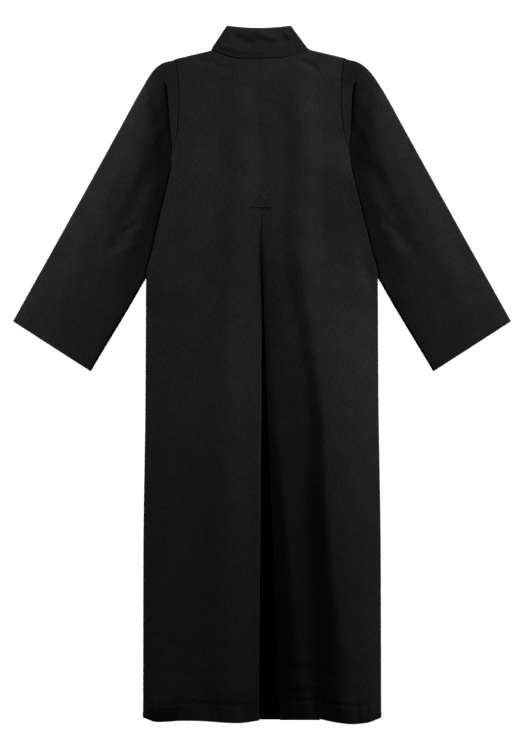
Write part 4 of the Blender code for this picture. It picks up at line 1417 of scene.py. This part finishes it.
def mixed_colour(material, factor, first, second):
    """The output of a node that mixes two colours. The node has a result for each type of data, so
    the one that holds a colour is looked up."""
    made = add_node(material, "ShaderNodeMix", {"Factor": factor}, data_type="RGBA")
    set_inputs(made, {"A": (*first, 1.0), "B": (*second, 1.0)})
    return next(out for out in made.outputs if out.name == "Result" and out.type == "RGBA")


# How many times as long as it is wide a thick or thin stretch of thread is, up and across the cloth.
WARP_SLUB = 3.0
WEFT_SLUB = 1.4
SUITING_SURFACE = {
    "Roughness": 0.85,
    "IOR": 1.45,
    "Specular IOR Level": 0.25,
    "Sheen Weight": 0.10,
    "Sheen Roughness": 0.5,
}


def suiting(name, cloth, shade=1.0):
    """Worsted suiting: wool yarn woven plain, piece-dyed black and pressed. To the eye it is a
    matt black with fine uneven threads up and across it, a soft fuzz at grazing angles and no
    gloss. A real thread is 0.4 mm wide, too fine to be seen from the camera's height, so the weave is
    drawn with threads as wide as thread_width says."""
    found = bpy.data.materials.get(name)
    if found:
        return found
    material, shader = new_material(name)
    grain = add_node(material, "ShaderNodeUVMap", uv_map=GRAIN).outputs["UV"]
    threads = 1 / cloth.thread_width
    streaks = []
    for stretch in ((threads, threads / WARP_SLUB, 1.0), (threads / WEFT_SLUB, threads, 1.0)):
        laid = add_node(
            material, "ShaderNodeMapping", {"Vector": grain}, inputs={"Scale": stretch}
        )
        streaks.append(
            add_node(
                material,
                "ShaderNodeTexNoise",
                {"Vector": laid.outputs["Vector"]},
                noise_dimensions="2D",
                inputs={"Scale": 1.0, "Detail": 2.0, "Roughness": 0.6},
            ).outputs["Fac"]
        )
    weave = add_node(
        material, "ShaderNodeMath", {0: streaks[0], 1: streaks[1]}, operation="ADD"
    ).outputs["Value"]
    pressed = add_node(
        material,
        "ShaderNodeTexNoise",
        {"Vector": grain},
        noise_dimensions="2D",
        inputs={"Scale": 22.0, "Detail": 3.0, "Roughness": 0.5},
    ).outputs["Fac"]
    # Worn and pressed patches, some 45 mm across, count half as much as the threads.
    both = add_node(
        material,
        "ShaderNodeMath",
        {0: pressed, 2: weave},
        operation="MULTIPLY_ADD",
        inputs={1: 0.5},
    ).outputs["Value"]
    tone = add_node(
        material,
        "ShaderNodeMapRange",
        {"Value": both},
        inputs={"From Min": 1.02, "From Max": 1.48, "To Min": 0.0, "To Max": 1.0},
    ).outputs["Result"]
    # shade below 1 darkens both colours alike: painted shade, used by the collar's copy of this
    # material.
    colour = mixed_colour(
        material,
        tone,
        [part * shade for part in cloth.colour],
        [part * shade for part in cloth.worn_colour],
    )
    bump = add_node(
        material,
        "ShaderNodeBump",
        {"Height": weave},
        inputs={"Strength": 0.35, "Distance": 0.0004},
    ).outputs["Normal"]
    set_inputs(shader, SUITING_SURFACE)
    material.node_tree.links.new(colour, shader.inputs["Base Color"])
    material.node_tree.links.new(bump, shader.inputs["Normal"])
    return material


def sewing_thread(cloth):
    """Spun polyester sewing thread, dyed black: a little smoother than the cloth that it holds."""
    material, shader = new_material("spun polyester sewing thread")
    position = add_node(material, "ShaderNodeTexCoord").outputs["Object"]
    twist = add_node(
        material, "ShaderNodeTexNoise", {"Vector": position}, inputs={"Scale": 900.0, "Detail": 1.0}
    ).outputs["Fac"]
    colour = mixed_colour(material, twist, cloth.thread_colour, cloth.colour)
    material.node_tree.links.new(colour, shader.inputs["Base Color"])
    set_inputs(shader, {"Roughness": 0.65, "Specular IOR Level": 0.3})
    return material


def floor_paper(stage):
    """Seamless background paper: a smooth, matt near-white with the faintest mottle."""
    material, shader = new_material("seamless background paper")
    position = add_node(material, "ShaderNodeTexCoord").outputs["Object"]
    mottle = add_node(
        material, "ShaderNodeTexNoise", {"Vector": position}, inputs={"Scale": 3.0, "Detail": 4.0}
    ).outputs["Fac"]
    bump = add_node(
        material, "ShaderNodeBump", {"Height": mottle}, inputs={"Strength": 0.02, "Distance": 0.001}
    ).outputs["Normal"]
    material.node_tree.links.new(bump, shader.inputs["Normal"])
    surface = {"Base Color": (*stage.floor_colour, 1.0), "Roughness": 0.95, "Specular IOR Level": 0.1}
    set_inputs(shader, surface)
    return material


# --- Stage --------------------------------------------------------------------------------------
FLOOR_DROP = 0.0004  # the floor lies this far below the cloth
SENSOR = 36.0  # width of the camera's sensor, in millimetres
WORLD_LIGHT = 0.01  # strength of the even light from all round
CENTRE = Vector((0.0011, -0.0011, 0.0))  # the point on the floor that the camera looks down at

# Soft boxes: each is a square area light that faces a point and lights one group of pieces.
Lamp = namedtuple("Lamp", "name lights azimuth elevation distance size power at")
MIDDLE = Vector((0.0, 0.05, 0.0))  # the point that all but the near ones face
LAMPS = (
    Lamp("right softbox", "body", 33, 9, 1.9, 0.5, 50.0, MIDDLE),
    Lamp("left softbox", "body_left", 150, 14, 1.9, 0.5, 21.0, MIDDLE),
    Lamp("top softbox", "body_right", 98, 8, 1.9, 0.5, 16.0, MIDDLE),
    Lamp("near right softbox", "body_right", 0, 90, 0.27, 0.2, 0.09, Vector((0.15, 0.07, 0.0))),
    Lamp("near left softbox", "body_left", 0, 90, 0.20, 0.15, 0.036, Vector((-0.03, 0.0, 0.0))),
    Lamp("left sleeve softbox", "sleeve_left", 150, 14, 1.9, 0.5, 30.5, MIDDLE),
    Lamp("left sleeve overhead", "sleeve_left", 90, 80, 1.9, 0.9, 2.0, MIDDLE),
    Lamp("right sleeve softbox", "sleeve_right", 30, 14, 1.9, 0.5, 30.5, MIDDLE),
    Lamp("right sleeve overhead", "sleeve_right", 90, 80, 1.9, 0.9, 2.0, MIDDLE),
    Lamp("floor softbox", "stage", 0, 90, 4.5, 5.0, 480.0, MIDDLE),
)


def add_lamp(lamp, strength):
    """An area light on a circle round the garment, which lights only its own group of pieces."""
    light = bpy.data.lights.new(lamp.name, "AREA")
    light.shape = "SQUARE"
    light.size = lamp.size
    light.energy = lamp.power * strength
    around, up = math.radians(lamp.azimuth), math.radians(lamp.elevation)
    aim = Vector((math.cos(around) * math.cos(up), math.sin(around) * math.cos(up), math.sin(up)))
    made = bpy.data.objects.new(lamp.name, light)
    made.location = lamp.at + aim * lamp.distance
    made.rotation_euler = aim.to_track_quat("Z", "Y").to_euler()
    made.visible_camera = False
    made.light_linking.receiver_collection = collection(lamp.lights)
    collection("lights").objects.link(made)


class CASSOCK_OT_stage(bpy.types.Operator):
    """Make the floor, the lights and the camera"""

    bl_idname = "cassock.stage"
    bl_label = "Floor, lights and camera"

    def execute(self, context):
        scene = context.scene
        stage = scene.cassock_stage
        bm = bmesh.new()
        bmesh.ops.create_grid(bm, x_segments=4, y_segments=4, size=stage.floor_size / 2)
        bmesh.ops.translate(bm, vec=(0.0, 0.0, -FLOOR_DROP), verts=bm.verts)
        mesh = bpy.data.meshes.new("floor")
        bm.to_mesh(mesh)
        bm.free()
        mesh.materials.append(floor_paper(stage))
        floor = bpy.data.objects.new("floor", mesh)
        collection("stage").objects.link(floor)

        for lamp in LAMPS:
            add_lamp(lamp, 1.0 if lamp.lights == "stage" else stage.key)

        world = bpy.data.worlds.new("studio")
        world.use_nodes = True
        background = world.node_tree.nodes["Background"]
        set_inputs(background, {"Color": (1.0, 1.0, 1.0, 1.0), "Strength": WORLD_LIGHT})
        scene.world = world

        camera = bpy.data.cameras.new("camera")
        camera.lens = stage.focal_length
        camera.sensor_width = SENSOR
        viewer = bpy.data.objects.new("camera", camera)
        viewer.location = CENTRE + Vector((0.0, 0.0, stage.camera_height))
        collection("lights").objects.link(viewer)
        scene.camera = viewer
        scene.view_settings.view_transform = "Standard"
        return {"FINISHED"}


# --- The panel ----------------------------------------------------------------------------------
class CASSOCK_PT_panel(bpy.types.Panel):
    """Lists the cassock's pieces and settings"""

    bl_idname = "CASSOCK_PT_panel"
    bl_label = "Cassock"
    bl_space_type = "VIEW_3D"
    bl_region_type = "UI"
    bl_category = "Cassock"

    def draw(self, context):
        for group in (context.scene.cassock_cloth, context.scene.cassock_stage):
            box = self.layout.box()
            for name in group.bl_rna.properties.keys():
                if name not in ("rna_type", "name"):
                    box.prop(group, name)
        for operator in OPERATORS:
            self.layout.operator(operator.bl_idname)


OPERATORS = (
    CASSOCK_OT_backs,
    CASSOCK_OT_underlay,
    CASSOCK_OT_fronts,
    CASSOCK_OT_sleeves,
    CASSOCK_OT_collar,
    CASSOCK_OT_tack,
    CASSOCK_OT_stitching,
    CASSOCK_OT_stage,
)
CLASSES = (CassockCloth, CassockStage, *OPERATORS, CASSOCK_PT_panel)


def register():
    for cls in CLASSES:
        bpy.utils.register_class(cls)
    bpy.types.Scene.cassock_cloth = bpy.props.PointerProperty(type=CassockCloth)
    bpy.types.Scene.cassock_stage = bpy.props.PointerProperty(type=CassockStage)


def unregister():
    del bpy.types.Scene.cassock_stage
    del bpy.types.Scene.cassock_cloth
    for cls in reversed(CLASSES):
        bpy.utils.unregister_class(cls)


def main():
    register()
    for operator in OPERATORS:
        group, name = operator.bl_idname.split(".")
        getattr(getattr(bpy.ops, group), name)()


if __name__ == "__main__":
    main()
